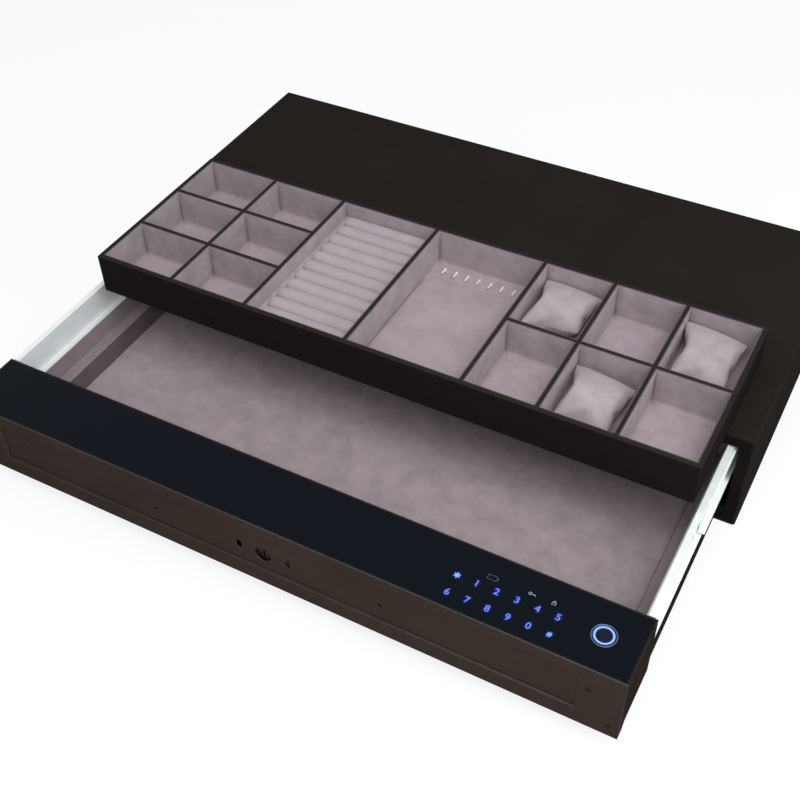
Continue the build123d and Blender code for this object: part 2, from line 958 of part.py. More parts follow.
with BuildPart() as batteries:
    body_length = battery_length - battery_tip_length
    for column in (-1, 1):
        for row in (-1, 1):
            cell_y = case_middle_y + row * (battery_radius + battery_gap / 2)
            near_x = battery_box_x + column * battery_gap / 2
            body_ends = sorted((near_x, near_x + column * body_length))
            tip_ends = sorted((near_x + column * body_length, near_x + column * battery_length))
            rod_x(cell_y, battery_z, battery_radius, body_ends)
            rod_x(cell_y, battery_z, battery_tip_radius, tip_ends)
write(batteries, "batteries")

with BuildPart() as battery_cover:
    block(
        (box_x[0] - battery_cover_margin, box_x[1] + battery_cover_margin),
        (box_y[0], box_y[1]),
        (case_bottom - battery_cover_sheet, case_bottom),
    )
    for cover_screw_x in cover_screws_x:
        rod_z(
            cover_screw_x,
            case_middle_y,
            screw_hole_radius,
            (case_bottom - battery_cover_sheet - overrun, case_bottom + overrun),
            mode=Mode.SUBTRACT,
        )
write(battery_cover, "battery_cover")

with BuildPart() as cover_screws:
    cover_bottom = case_bottom - battery_cover_sheet
    for cover_screw_x in cover_screws_x:
        rod_z(
            cover_screw_x,
            case_middle_y,
            screw_head_radius,
            (cover_bottom - screw_head_height, cover_bottom),
        )
        rod_z(
            cover_screw_x,
            case_middle_y,
            screw_radius,
            (cover_bottom, cover_bottom + screw_length),
        )
write(cover_screws, "cover_screws")

# Key cylinder, with its shoulder against the bracket and a nut behind
cylinder_front = head_front + key_setback
cylinder_rear = cylinder_front + cylinder_length
cheek_rear = cylinder_rear - nut_length
cheek_front = cheek_rear - bracket_sheet

with BuildPart() as key_cylinder:
    rod_y(0, key_axis_z, cylinder_radius, (cylinder_front, cylinder_rear))
    rod_y(0, key_axis_z, shoulder_radius, (cheek_front - shoulder_length, cheek_front))
    rod_y(
        0,
        key_axis_z,
        plug_radius + plug_clearance,
        (cylinder_front - overrun, cylinder_rear + overrun),
        mode=Mode.SUBTRACT,
    )
write(key_cylinder, "key_cylinder")

with BuildPart() as cylinder_nut:
    with BuildSketch(Plane.XZ.offset(-cheek_rear)):
        with Locations((0, key_axis_z)):
            RegularPolygon(nut_radius, 6)
            Circle(cylinder_radius + screw_hole_gap, mode=Mode.SUBTRACT)
    extrude(amount=-nut_length)
write(cylinder_nut, "cylinder_nut")

with BuildPart() as key_plug:
    rod_y(0, key_axis_z, plug_radius, (cylinder_front, cylinder_rear))
    block(
        (-keyway_width / 2, keyway_width / 2),
        (cylinder_front - overrun, cylinder_front + keyway_depth),
        (key_axis_z - keyway_height / 2, key_axis_z + keyway_height / 2),
        mode=Mode.SUBTRACT,
    )
    block(
        (-tail_width / 2, tail_width / 2),
        (cylinder_rear, cylinder_rear + tail_length),
        (key_axis_z - tail_height / 2, key_axis_z + tail_height / 2),
    )
write(key_plug, "key_plug")

# Drive disc, turned by the gear motor, whose two pins push the bolts' forks
disc_y = (cylinder_rear + tail_length + disc_gap, rod_y_range[0] - rod_gap)
pin_offset = bolt_throw / 2
motor_face = rod_y_range[1] + rod_gap + bracket_sheet
shaft_end = motor_face + gearbox_length / 2

with BuildPart() as lock_disc:
    rod_y(0, key_axis_z, disc_radius, disc_y)
    rod_y(0, key_axis_z, drive_shaft_radius, (disc_y[1], shaft_end))
    for side in (-1, 1):
        rod_y(
            -side * pin_offset,
            key_axis_z + side * pin_offset,
            drive_pin_radius,
            (disc_y[1], rod_y_range[1]),
        )
write(lock_disc, "lock_disc")

with BuildPart() as gear_motor:
    block(
        (-gearbox_width / 2, gearbox_width / 2),
        (motor_face, motor_face + gearbox_length),
        (key_axis_z - gearbox_height / 2, key_axis_z + gearbox_height / 2),
    )
    rod_y(
        0,
        key_axis_z,
        motor_radius,
        (motor_face + gearbox_length, motor_face + gearbox_length + motor_length),
    )
    rod_y(
        0,
        key_axis_z,
        drive_shaft_radius + plug_clearance,
        (motor_face - overrun, shaft_end + plug_clearance),
        mode=Mode.SUBTRACT,
    )
write(gear_motor, "gear_motor")

# Lock bracket, two cheeks on a foot that hold the key cylinder and the motor
bracket_top = key_axis_z + bracket_head_room
motor_cheek = (motor_face - bracket_sheet, motor_face)
foot_front = cheek_front - (bracket_foot_depth - (motor_face - cheek_front)) / 2

with BuildPart() as lock_bracket:
    block(
        (-bracket_foot_half_width, bracket_foot_half_width),
        (foot_front, foot_front + bracket_foot_depth),
        (case_floor, case_floor + bracket_sheet),
    )
    for cheek_y in ((cheek_front, cheek_rear), motor_cheek):
        block(
            (-bracket_half_width, bracket_half_width),
            cheek_y,
            (case_floor + bracket_sheet, bracket_top),
        )
    rod_y(
        0,
        key_axis_z,
        cylinder_radius + screw_hole_gap,
        (cheek_front - overrun, cheek_rear + overrun),
        mode=Mode.SUBTRACT,
    )
    rod_y(
        0,
        key_axis_z,
        drive_shaft_radius + screw_hole_gap,
        (motor_cheek[0] - overrun, motor_cheek[1] + overrun),
        mode=Mode.SUBTRACT,
    )
write(lock_bracket, "lock_bracket")

# Bolts, each a flat rod with a fork at the disc and a round bolt at the head's end
fork_bottom = drive_shaft_radius + rod_gap
fork_top = fork_bottom + rod_height + fork_wall
pin_slot_half = drive_pin_radius + drive_pin_clearance
fork_half = pin_slot_half + fork_wall
pin_circle = math.hypot(pin_offset, pin_offset)
bolt_tip = head_half - bolt_setback
bolt_root = bolt_tip - bolt_length


def lock_bolt(side):
    """Add one bolt with its rod, on the right for side 1 and on the left for side -1."""

    def span(low, high):
        return tuple(sorted((side * low, side * high)))

    def height(low, high):
        return tuple(sorted((key_axis_z + side * low, key_axis_z + side * high)))

    rod_bottom = fork_top - rod_height
    block(
        span(-pin_offset - fork_half, -pin_offset + fork_half),
        rod_y_range,
        height(fork_bottom, fork_top),
    )
    block(
        span(-pin_offset + pin_slot_half, bolt_root),
        rod_y_range,
        height(rod_bottom, fork_top),
    )
    block(
        span(-pin_offset - pin_slot_half, -pin_offset + pin_slot_half),
        (rod_y_range[0] - overrun, rod_y_range[1] + overrun),
        height(0, pin_circle + drive_pin_radius + drive_pin_clearance),
        mode=Mode.SUBTRACT,
    )
    block(
        span(bolt_root - bolt_block_length, bolt_root),
        (bolt_y - bolt_radius, bolt_y + bolt_radius),
        height(-bolt_radius, fork_top),
    )
    rod_x(bolt_y, key_axis_z, bolt_radius, span(bolt_root, bolt_tip))


with BuildPart() as right_bolt:
    lock_bolt(1)
write(right_bolt, "right_bolt")

with BuildPart() as left_bolt:
    lock_bolt(-1)
write(left_bolt, "left_bolt")

# Bolt guides, nylon blocks inside the head's ends
guide_half = bolt_radius + guide_wall

with BuildPart() as bolt_guides:
    block(
        (case_inner_half - guide_length, case_inner_half),
        (bolt_y - guide_half, bolt_y + guide_half),
        (key_axis_z - guide_half, key_axis_z + guide_half),
    )
    rod_x(
        bolt_y,
        key_axis_z,
        bolt_radius + plug_clearance,
        (case_inner_half - guide_length - overrun, case_inner_half + overrun),
        mode=Mode.SUBTRACT,
    )
    mirror(about=Plane.YZ)
write(bolt_guides, "bolt_guides")

# Tray, a wrapped box divided into columns from left to right
tray_x = (tray_offset_x - tray_width / 2, tray_offset_x + tray_width / 2)
tray_y = (housing_front - tray_overhang, housing_front - tray_overhang + tray_depth)
tray_z = (housing_height, housing_height + tray_height)
inner_x = (tray_x[0] + tray_wall, tray_x[1] - tray_wall)
inner_y = (tray_y[0] + tray_wall, tray_y[1] - tray_wall)
tray_floor = tray_z[0] + tray_board
cell_floor = tray_floor + tray_lining

necklace_cell_width = (
    inner_x[1]
    - inner_x[0]
    - 2 * small_cell_width
    - ring_cell_width
    - 3 * watch_cell_width
    - 6 * divider_sheet
)
column_widths = (
    small_cell_width,
    small_cell_width,
    ring_cell_width,
    necklace_cell_width,
    watch_cell_width,
    watch_cell_width,
    watch_cell_width,
)
column_rows = (
    small_row_count,
    small_row_count,
    1,
    1,
    watch_row_count,
    watch_row_count,
    watch_row_count,
)
columns = []
column_start = inner_x[0]
for column_width in column_widths:
    columns.append((column_start, column_start + column_width))
    column_start += column_width + divider_sheet


def row_spans(count):
    """Give the front and rear of each row of cells, from the front."""
    row_depth = (inner_y[1] - inner_y[0] - (count - 1) * divider_sheet) / count
    fronts = [inner_y[0] + index * (row_depth + divider_sheet) for index in range(count)]
    return [(front, front + row_depth) for front in fronts]


with BuildPart() as tray_shell:
    block(tray_x, tray_y, tray_z)
    block(inner_x, inner_y, (tray_floor, tray_z[1] + overrun), mode=Mode.SUBTRACT)
write(tray_shell, "tray_shell")

with BuildPart() as tray_dividers:
    divider_z = (tray_floor, tray_z[1])
    for column_x in columns[:-1]:
        block((column_x[1], column_x[1] + divider_sheet), inner_y, divider_z)
    for column_x, row_count in zip(columns, column_rows):
        for row in row_spans(row_count)[:-1]:
            block(column_x, (row[1], row[1] + divider_sheet), divider_z)
write(tray_dividers, "tray_dividers")

with BuildPart() as cell_linings:
    for column_x, row_count in zip(columns, column_rows):
        for row in row_spans(row_count):
            block(
                (column_x[0] + lining_gap, column_x[1] - lining_gap),
                (row[0] + lining_gap, row[1] - lining_gap),
                (tray_floor, cell_floor),
            )
write(cell_linings, "cell_linings")

# Ring pad, a foam block cut into rolls that grip rings between them
ring_x = columns[2]
roll_radius = ring_roll_pitch / 2
roll_z = tray_z[1] - ring_roll_drop - roll_radius
roll_x = (ring_x[0] + ring_margin, ring_x[1] - ring_margin)
ring_pad_y = (inner_y[0] + lining_gap, inner_y[1] - lining_gap)

with BuildPart() as ring_pad:
    block(
        (ring_x[0] + lining_gap, ring_x[1] - lining_gap),
        ring_pad_y,
        (cell_floor, roll_z + ring_strip_rise),
    )
    roll_count = int((ring_pad_y[1] - ring_pad_y[0]) / ring_roll_pitch)
    for index in range(roll_count):
        roll_y = ring_pad_y[1] - roll_radius - index * ring_roll_pitch
        rod_x(roll_y, roll_z, roll_radius, roll_x)
write(ring_pad, "ring_pad")

# Necklace pad and the row of hooks behind it
necklace_x = columns[3]
pad_x = (necklace_x[0] + pad_margin, necklace_x[1] - pad_margin)
pad_radius = min(pad_corner_radius, (pad_x[1] - pad_x[0]) / 3)
hook_y = inner_y[1] - hook_from_wall
hook_top = cell_floor + hook_rise
hook_count = max(1, 1 + int((necklace_cell_width - 2 * hook_margin) / hook_pitch))
pad_y = (inner_y[0] + lining_gap, hook_y - hook_reach - pad_hook_gap)

with BuildPart() as necklace_pad:
    block(pad_x, pad_y, (cell_floor, cell_floor + pad_thickness))
    fillet(necklace_pad.edges().filter_by(Axis.Z).group_by(Axis.Y)[-1], pad_radius)
write(necklace_pad, "necklace_pad")

with BuildPart() as necklace_hooks:
    necklace_centre = (necklace_x[0] + necklace_x[1]) / 2
    for index in range(hook_count):
        hook_x = necklace_centre - hook_row_offset + (index - (hook_count - 1) / 2) * hook_pitch
        with BuildLine() as hook_path:
            FilletPolyline(
                (hook_x, hook_y, cell_floor),
                (hook_x, hook_y, hook_top),
                (hook_x, hook_y - hook_reach, hook_top),
                radius=hook_bend_radius,
            )
        with BuildSketch(Plane((hook_x, hook_y, cell_floor))):
            Circle(hook_wire_radius)
        sweep(path=hook_path.line)
write(necklace_hooks, "necklace_hooks")


# Watch pillows, loose cushions in three of the watch cells
def watch_pillow(column_x, row):
    """Build one plain pillow in the middle of its cell."""
    pillow_width = column_x[1] - column_x[0] - 2 * pillow_side_gap
    pillow_length = row[1] - row[0] - 2 * pillow_end_gap
    with BuildPart() as pillow:
        with BuildSketch(
            Plane(((column_x[0] + column_x[1]) / 2, (row[0] + row[1]) / 2, cell_floor + lining_gap))
        ):
            RectangleRounded(pillow_width, pillow_length, pillow_corner_radius)
        extrude(amount=pillow_height)
        fillet(pillow.faces().sort_by(Axis.Z)[-1].edges(), pillow_edge_radius)
    return pillow


front_watch_row, rear_watch_row = row_spans(watch_row_count)
write(watch_pillow(columns[4], rear_watch_row), "watch_pillow_left")
write(watch_pillow(columns[5], front_watch_row), "watch_pillow_middle")
write(watch_pillow(columns[6], rear_watch_row), "watch_pillow_right")
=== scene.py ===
import math

import bmesh
import bpy
from mathutils import Matrix, Vector, noise


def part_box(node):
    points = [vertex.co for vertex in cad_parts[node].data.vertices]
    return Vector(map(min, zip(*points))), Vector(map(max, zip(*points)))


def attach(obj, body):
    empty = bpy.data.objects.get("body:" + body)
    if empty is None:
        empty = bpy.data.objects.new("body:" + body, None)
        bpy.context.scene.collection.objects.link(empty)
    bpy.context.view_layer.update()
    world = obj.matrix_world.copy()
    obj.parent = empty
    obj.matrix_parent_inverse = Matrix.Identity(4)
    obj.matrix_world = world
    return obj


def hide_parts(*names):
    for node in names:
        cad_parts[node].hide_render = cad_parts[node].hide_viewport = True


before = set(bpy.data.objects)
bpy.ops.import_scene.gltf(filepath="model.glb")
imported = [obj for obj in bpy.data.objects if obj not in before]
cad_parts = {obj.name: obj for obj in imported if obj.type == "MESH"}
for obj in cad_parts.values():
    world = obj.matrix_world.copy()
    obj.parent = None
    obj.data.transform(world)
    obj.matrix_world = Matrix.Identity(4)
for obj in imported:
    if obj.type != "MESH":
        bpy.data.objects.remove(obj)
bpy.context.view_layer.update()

# Housing: 3 mm steel sheet folded round the top, sides and bottom, with a back plate let in and a
# pressed frame round the drawer opening. It is powder coated in a fine-grained warm black, and the
# channels that carry the slides are welded to its sides before coating.


def wire(tree, node, sockets):
    """Wires or sets a node's sockets, where a node stands for its first live output."""
    for name, value in sockets.items():
        socket = node.inputs[name]
        if isinstance(value, bpy.types.Node):
            value = next(output for output in value.outputs if output.enabled)
        if isinstance(value, bpy.types.NodeSocket):
            tree.links.new(value, socket)
        else:
            socket.default_value = (*value, 1) if socket.type == "RGBA" else value


def adjust(thing, **settings):
    """Sets several settings of a thing."""
    for name, value in settings.items():
        setattr(thing, name, value)


def put(tree, kind, sockets=None, **settings):
    """Adds a shader node, sets its options, then its sockets."""
    node = tree.nodes.new("ShaderNode" + kind)
    adjust(node, **settings)
    wire(tree, node, sockets or {})
    return node


def own_place(tree):
    """Places on the piece, in metres, so that its look moves with it."""
    return put(tree, "TexCoord").outputs["Object"]


def reckon(tree, operation, *terms, clamp=False):
    """One step of arithmetic."""
    return put(tree, "Math", dict(enumerate(terms)), operation=operation, use_clamp=clamp)


def ranged(tree, value, low, high, start, end):
    """Carries a value from between low and high to between start and end."""
    return put(tree, "MapRange", {"Value": value, "From Min": low, "From Max": high, "To Min": start,
                                  "To Max": end})


def mixed(tree, share, first, second):
    """Goes from the first colour to the second."""
    return put(tree, "Mix", {0: share, 6: first, 7: second}, data_type="RGBA")


def scaled(tree, colour, share):
    """Makes a colour lighter or darker."""
    return put(tree, "VectorMath", {0: colour, "Scale": share}, operation="SCALE")


def mottled(tree, place, scale, detail=2.0, roughness=0.5, distortion=0.0):
    """Noise fixed to the piece, its scale in patches to the metre."""
    return put(tree, "TexNoise", {"Vector": place, "Scale": scale, "Detail": detail,
                                  "Roughness": roughness, "Distortion": distortion})


face_outputs = {"Color": "Color", "Roughness": "Float", "Height": "Float"}


def start_effect(name, inputs, outputs):
    """A node group with named sockets: its tree, what comes in, and its end node."""
    tree = bpy.data.node_groups.new(name, "ShaderNodeTree")
    for label, value in inputs.items():
        kind = "Color" if isinstance(value, tuple) else "Float"
        socket = tree.interface.new_socket(label, in_out="INPUT", socket_type="NodeSocket" + kind)
        socket.default_value = (*value, 1) if kind == "Color" else value
    for label, kind in outputs.items():
        tree.interface.new_socket(label, in_out="OUTPUT", socket_type="NodeSocket" + kind)
    return tree, tree.nodes.new("NodeGroupInput").outputs, tree.nodes.new("NodeGroupOutput")


def effect(tree, name, sockets):
    """Adds one of those effects to a finish."""
    return put(tree, "Group", sockets, node_tree=bpy.data.node_groups[name])


def start_finish(name, **sockets):
    """A new material with the plain values of its shader, written as Sheen_Weight=0.3."""
    material = bpy.data.materials.new(name)
    material.use_nodes = True
    shader = material.node_tree.nodes["Principled BSDF"]
    for socket, value in sockets.items():
        shader.inputs[socket.replace("_", " ")].default_value = value
    return material, material.node_tree, shader


def lay_on(tree, shader, face, depth, strength=1.0, edges=None):
    """Lays an effect's colour, roughness and relief on a shader, soft over its edges."""
    skin = put(tree, "Bump", {"Height": face.outputs["Height"], "Distance": depth,
                              "Strength": strength})
    if edges:
        wire(tree, skin, {"Normal": edges.outputs["Normal"]})
    wire(tree, shader, {"Base Color": face.outputs["Color"], "Roughness": face.outputs["Roughness"],
                        "Normal": skin})


def dress(finish, *nodes):
    """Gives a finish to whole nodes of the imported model."""
    for name in nodes:
        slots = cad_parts[name].data.materials
        for place in range(len(slots)):
            slots[place] = finish


# Where two faces meet: the normal turned softly over the edge, and how near the edge is.
tree, ins, outs = start_effect("soft edge", {"Radius": 0.001, "Reach": 0.6},
                                    {"Normal": "Vector", "Edge": "Float"})
turned = put(tree, "Bevel", {"Radius": ins["Radius"]}, samples=6)
flat = put(tree, "NewGeometry")
likeness = put(tree, "VectorMath", {0: turned, 1: flat.outputs["Normal"]}, operation="DOT_PRODUCT")
bent = reckon(tree, "SUBTRACT", 1.0, likeness)
near = reckon(tree, "DIVIDE", bent, ins["Reach"], clamp=True)
wire(tree, outs, {"Normal": turned, "Edge": near})

# Baked powder paint: a fine pebbled skin, faint cloudy drift in tone, and paler edges that are partly
# rubbed paint and partly a painted highlight.
tree, ins, outs = start_effect("powder coat", {
    "Paint": (0.02, 0.02, 0.02), "Rub_And_Highlight": (0.08, 0.08, 0.08), "Edge": 0.0, "Grain": 1400.0,
    "Sheen": 0.5,
}, face_outputs)
place = own_place(tree)
pebbles = mottled(tree, place, ins["Grain"])
drift = mottled(tree, place, 9.0, 3.0)
pale = ranged(tree, pebbles, 0.35, 0.7, 0.86, 1.16)
cloud = ranged(tree, drift, 0.3, 0.7, 0.93, 1.07)
tone = reckon(tree, "MULTIPLY", pale, cloud)
paint = scaled(tree, ins["Paint"], tone)
patchy = mottled(tree, place, 140.0, 4.0)
rub_and_highlight_mask = reckon(tree, "MULTIPLY", ins["Edge"], patchy, clamp=True)
worn_and_lit = mixed(tree, rub_and_highlight_mask, paint, ins["Rub_And_Highlight"])
rough = ranged(tree, drift, 0.3, 0.7, -0.05, 0.05)
gloss = reckon(tree, "ADD", ins["Sheen"], rough)
wire(tree, outs, {"Color": worn_and_lit, "Roughness": gloss, "Height": pebbles})


def coated(name, colour, rub_and_light, grain=1400.0, sheen=0.5, edge=0.0016, depth=0.00012, **sockets):
    """A powder-coated metal in one colour."""
    finish, tree, shader = start_finish(name, **sockets)
    edges = effect(tree, "soft edge", {"Radius": edge})
    coat = effect(tree, "powder coat", {"Paint": colour, "Rub_And_Highlight": rub_and_light, "Grain": grain,
                                        "Sheen": sheen, "Edge": edges.outputs["Edge"]})
    lay_on(tree, shader, coat, depth, 0.6, edges)
    return finish


housing_black = coated("housing powder coat", (0.0225, 0.0188, 0.0168), (0.075, 0.066, 0.06),
                       Specular_IOR_Level=0.0)
dress(housing_black, "housing_shell", "housing_back", "left_slide_rail", "right_slide_rail")
# Painted shade: the front frame's coat is painted about half as light as the housing's, for the shade
# that the frame stands in.
frame_black_in_shade = coated("front frame powder coat", (0.0115, 0.0096, 0.0086), (0.06, 0.052, 0.047),
                     Specular_IOR_Level=0.0)
dress(frame_black_in_shade, "front_frame")

# Slides: three zinc-plated steel members a side, rolled from strip, with balls in cages between
# them. The outer members are screwed to the rails and the pan with pan-head screws.

tree, ins, outs = start_effect("rolled metal", {
    "Metal": (0.7, 0.73, 0.75), "Sheen": 0.3, "Streaks": 0.12,
}, face_outputs)
place = own_place(tree)
pulled = put(tree, "Mapping", {"Vector": place, "Scale": (900, 14, 900)})
lines = mottled(tree, pulled, 1.0, 4.0)
bloom = mottled(tree, place, 45.0, 5.0, 0.6)
light = ranged(tree, lines, 0.3, 0.7, 0.94, 1.03)
haze = ranged(tree, bloom, 0.3, 0.75, 0.93, 1.04)
tone = reckon(tree, "MULTIPLY", light, haze)
metal = scaled(tree, ins["Metal"], tone)
swing = reckon(tree, "ADD", bloom, -0.5)
spread = reckon(tree, "MULTIPLY_ADD", swing, ins["Streaks"], ins["Sheen"])
wire(tree, outs, {"Color": metal, "Roughness": spread, "Height": lines})


def bare_metal(name, colour, sheen, streaks=0.2, depth=0.00003, edge=0.0004, metallic=1.0, **sockets):
    """Plated or plain metal with rolling lines and a soft edge."""
    finish, tree, shader = start_finish(name, Metallic=metallic, **sockets)
    edges = effect(tree, "soft edge", {"Radius": edge})
    face = effect(tree, "rolled metal", {"Metal": colour, "Sheen": sheen, "Streaks": streaks})
    lay_on(tree, shader, face, depth, edges=edges)
    return finish


zinc = bare_metal("zinc plated steel", (0.93, 0.99, 1.0), 0.5, metallic=0.1, Specular_IOR_Level=0.3)
bright_balls = bare_metal("bearing steel", (0.62, 0.63, 0.65), 0.12, streaks=0.1, edge=0.0001)
screw_zinc = bare_metal("zinc plated screws", (0.6, 0.61, 0.62), 0.3, edge=0.0002)
for side in ("left", "right"):
    dress(zinc, side + "_slide_fixed", side + "_slide_middle", side + "_slide_drawer")
    dress(bright_balls, side + "_outer_balls", side + "_inner_balls")
dress(screw_zinc, "rail_screws", "pan_screws", "bolt_strikes")

# Drawer pan: thin steel folded into an open tray with a step in its sides for the slides, spot
# welded at the corners and powder coated in the housing's warm black.

pan_black = coated("drawer powder coat", (0.02, 0.017, 0.0155), (0.05, 0.045, 0.04),
                   Specular_IOR_Level=0.0)
dress(pan_black, "drawer_pan")

# Edge trims: two flat aluminium strips, satin anodised, glued along the top of the pan's sides so
# that the edge of the lining is covered.

trim_metal = bare_metal("satin aluminium", (0.8, 0.83, 0.84), 0.5, edge=0.0003, metallic=0.3)
dress(trim_metal, "edge_trims")

# Drawer lining: boards wrapped in short-napped microfibre suede, pressed in floor first, then the
# sides with the ledge that the tray can hang on, then the front and rear.

tree, ins, outs = start_effect("suede nap", {
    "Dye": (0.4, 0.34, 0.37), "Brushed": 0.12, "Patch": 38.0, "Crease_Shade": 0.0,
}, face_outputs)
place = own_place(tree)
fibre = mottled(tree, place, 1500.0, 3.0, 0.7)
tuft = mottled(tree, place, 420.0, 3.0, 0.6)
stroke = mottled(tree, place, ins["Patch"], 4.0, 0.66, 0.3)
tint = mottled(tree, place, 60.0)
lay = ranged(tree, stroke, 0.32, 0.68, -1.0, 1.0)
speck = ranged(tree, fibre, 0.3, 0.7, 0.93, 1.06)
brushed = reckon(tree, "MULTIPLY_ADD", lay, ins["Brushed"], 1.0)
tone = reckon(tree, "MULTIPLY", speck, brushed)
# Painted shade: the nap is darkened by up to a half where the mesh marks shade in its corners, creases
# and slits.
unshaded = reckon(tree, "MULTIPLY_ADD", ins["Crease_Shade"], -0.5, 1.0)
tone = reckon(tree, "MULTIPLY", tone, unshaded)
shade = scaled(tree, ins["Dye"], tone)
hue = ranged(tree, tint, 0.35, 0.65, 0.488, 0.512)
drifted = put(tree, "HueSaturation", {"Hue": hue, "Color": shade})
nap = reckon(tree, "ADD", tuft, fibre)
rough = ranged(tree, stroke, 0.3, 0.7, 0.86, 0.98)
wire(tree, outs, {"Color": drifted, "Roughness": rough, "Height": nap})


def suede(name, colour, brushed=0.1, patch=38.0):
    """Microfibre suede in one dye, more or less brushed, with painted shade where the mesh marks
    corners, creases and slits.
    """
    finish, tree, shader = start_finish(name, Specular_IOR_Level=0.1, Sheen_Weight=0.15,
                                        Sheen_Roughness=0.6, Sheen_Tint=(1, 0.95, 0.97, 1))
    crease_shade = put(tree, "Attribute", attribute_name="crease_shade")
    nap = effect(tree, "suede nap", {"Dye": colour, "Brushed": brushed, "Patch": patch,
                                     "Crease_Shade": crease_shade.outputs["Fac"]})
    lay_on(tree, shader, nap, 0.0003, 0.7)
    return finish


mm = 0.001


def steps(low, high, rounding, spacing):
    """Places along one side: close together in the rounding at both ends, then evenly spaced."""
    turn = [rounding * (1 - math.cos(math.pi / 2 * k / 4)) for k in range(5)]
    inner_low = low + rounding
    inner_high = high - rounding
    count = max(1, round((inner_high - inner_low) / spacing))
    middle = [inner_low + (inner_high - inner_low) * k / count for k in range(1, count)]
    return [low + t for t in turn] + middle + [high - t for t in reversed(turn)]


def wrapped(name, low, high, rounding, spacing, form=None):
    """A closed block with rounded edges on a fine grid, in mm, its points moved by form(point)."""
    sides = [steps(low[k], high[k], rounding, spacing[k]) for k in range(3)]
    last = [len(side) - 1 for side in sides]
    mesh = bmesh.new()
    made = {}

    def point(i, j, k):
        if (i, j, k) not in made:
            place = Vector((sides[0][i], sides[1][j], sides[2][k]))
            core = Vector(min(max(place[a], low[a] + rounding), high[a] - rounding) for a in range(3))
            out = place - core
            if out.length > 1e-9:
                place = core + out * (rounding / out.length)
            if form:
                place = form(place)
            made[(i, j, k)] = mesh.verts.new(place * mm)
        return made[(i, j, k)]

    for axis in range(3):
        a, b = (axis + 1) % 3, (axis + 2) % 3
        for end in (0, last[axis]):
            for u in range(last[a]):
                for v in range(last[b]):
                    ring = []
                    for du, dv in ((0, 0), (1, 0), (1, 1), (0, 1)):
                        place = [0, 0, 0]
                        place[axis] = end
                        place[a] = u + du
                        place[b] = v + dv
                        ring.append(point(*place))
                    if end == 0:
                        ring.reverse()
                    mesh.faces.new(ring).smooth = True
    return keep_mesh(name, mesh)


def bring_in(name, data):
    """Puts a mesh, curve, lamp or camera into the scene as an object."""
    thing = bpy.data.objects.new(name, data)
    bpy.context.scene.collection.objects.link(thing)
    return thing


def keep_mesh(name, mesh):
    """Turns finished mesh code into an object in the scene."""
    data = bpy.data.meshes.new(name)
    mesh.to_mesh(data)
    mesh.free()
    return bring_in(name, data)


def fit(piece, finish, body, slot, *nodes):
    """Gives a piece its finish and its body, and hides the nodes that it stands for; its slot is not
    used.
    """
    piece.data.materials.append(finish)
    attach(piece, body)
    if nodes:
        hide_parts(*nodes)
    return piece


def ripple(point, size, height, seed=0.0):
    """A slow wave of the cloth over its board."""
    return height * noise.noise(Vector((point.x, point.y, point.z + seed)) / size)


drawer_suede = suede("drawer suede", (0.385, 0.32, 0.345), brushed=0.13, patch=34.0)
# Painted shade: the sides' suede is dyed darker than the floor's, and the left skirt under the ledge
# darker still, for the shade that falls on them.
shaded_side_suede = suede("drawer suede darkened for the sides' shade", (0.275, 0.226, 0.244), brushed=0.13, patch=34.0)
skirt_suede_in_shade = suede("drawer suede darkened for the skirt's shade", (0.112, 0.09, 0.097), brushed=0.14, patch=34.0)
board_thick = 3.0
board_turn = 1.2
floor_side = 395.0
floor_front = -445.5
floor_rear = -144.0
floor_top = 29.0
wall_side = 388.0
wall_top = 80.0
skirt_top = 52.0


def laid_floor(point):
    """Lets the cloth on top of the floor board rise and fall a little."""
    if point.z > floor_top - 0.5:
        point = point + Vector((0, 0, ripple(point, 46.0, 0.28, 7.0) - 0.25))
    return point


floor_pad = wrapped("drawer_floor_lining", (-floor_side, floor_front, floor_top - board_thick),
                    (floor_side, floor_rear, floor_top), board_turn, (9, 9, 2), laid_floor)
fit(floor_pad, drawer_suede, "drawer", "suede_lining", "floor_pad")


def end_lining(name, back, front, node):
    """The board across the drawer's front or rear, its cloth a little uneven in front."""

    def form(point):
        if point.z > 40 and abs(point.y - front) < 1:
            point = point + Vector((0, 0.2 * ripple(point, 30.0, 1.0, 3.0), 0))
        return point

    piece = wrapped(name, (-wall_side, back, floor_top), (wall_side, front, wall_top), board_turn,
                    (10, 2, 7), form)
    fit(piece, drawer_suede, "drawer", "suede_lining", node)


end_lining("drawer_front_lining", floor_front, floor_front + board_thick, "front_lining")
end_lining("drawer_rear_lining", floor_rear - board_thick, floor_rear, "rear_lining")

# The side lining's section, from the top of its inner face round to its outer face.
ledge_section = [(383.0, wall_top), (383.0, 53.5), (369.0, 53.5), (364.2, 27.4), (floor_side, 27.4),
                 (floor_side, 57.0), (wall_side, 57.0), (wall_side, wall_top)]


def rounded_section(corners, rounding):
    """A closed outline with each corner turned over a small radius."""
    outline = []
    count = len(corners)
    for k, corner in enumerate(corners):
        here = Vector(corner)
        back = (Vector(corners[k - 1]) - here).normalized()
        ahead = (Vector(corners[(k + 1) % count]) - here).normalized()
        reach = rounding / math.tan(math.acos(max(-1, min(1, back.dot(ahead)))) / 2)
        start = here + back * reach
        finish = here + ahead * reach
        for t in (0, 0.25, 0.5, 0.75, 1):
            outline.append(start * (1 - t) ** 2 + here * 2 * t * (1 - t) + finish * t ** 2)
    return outline


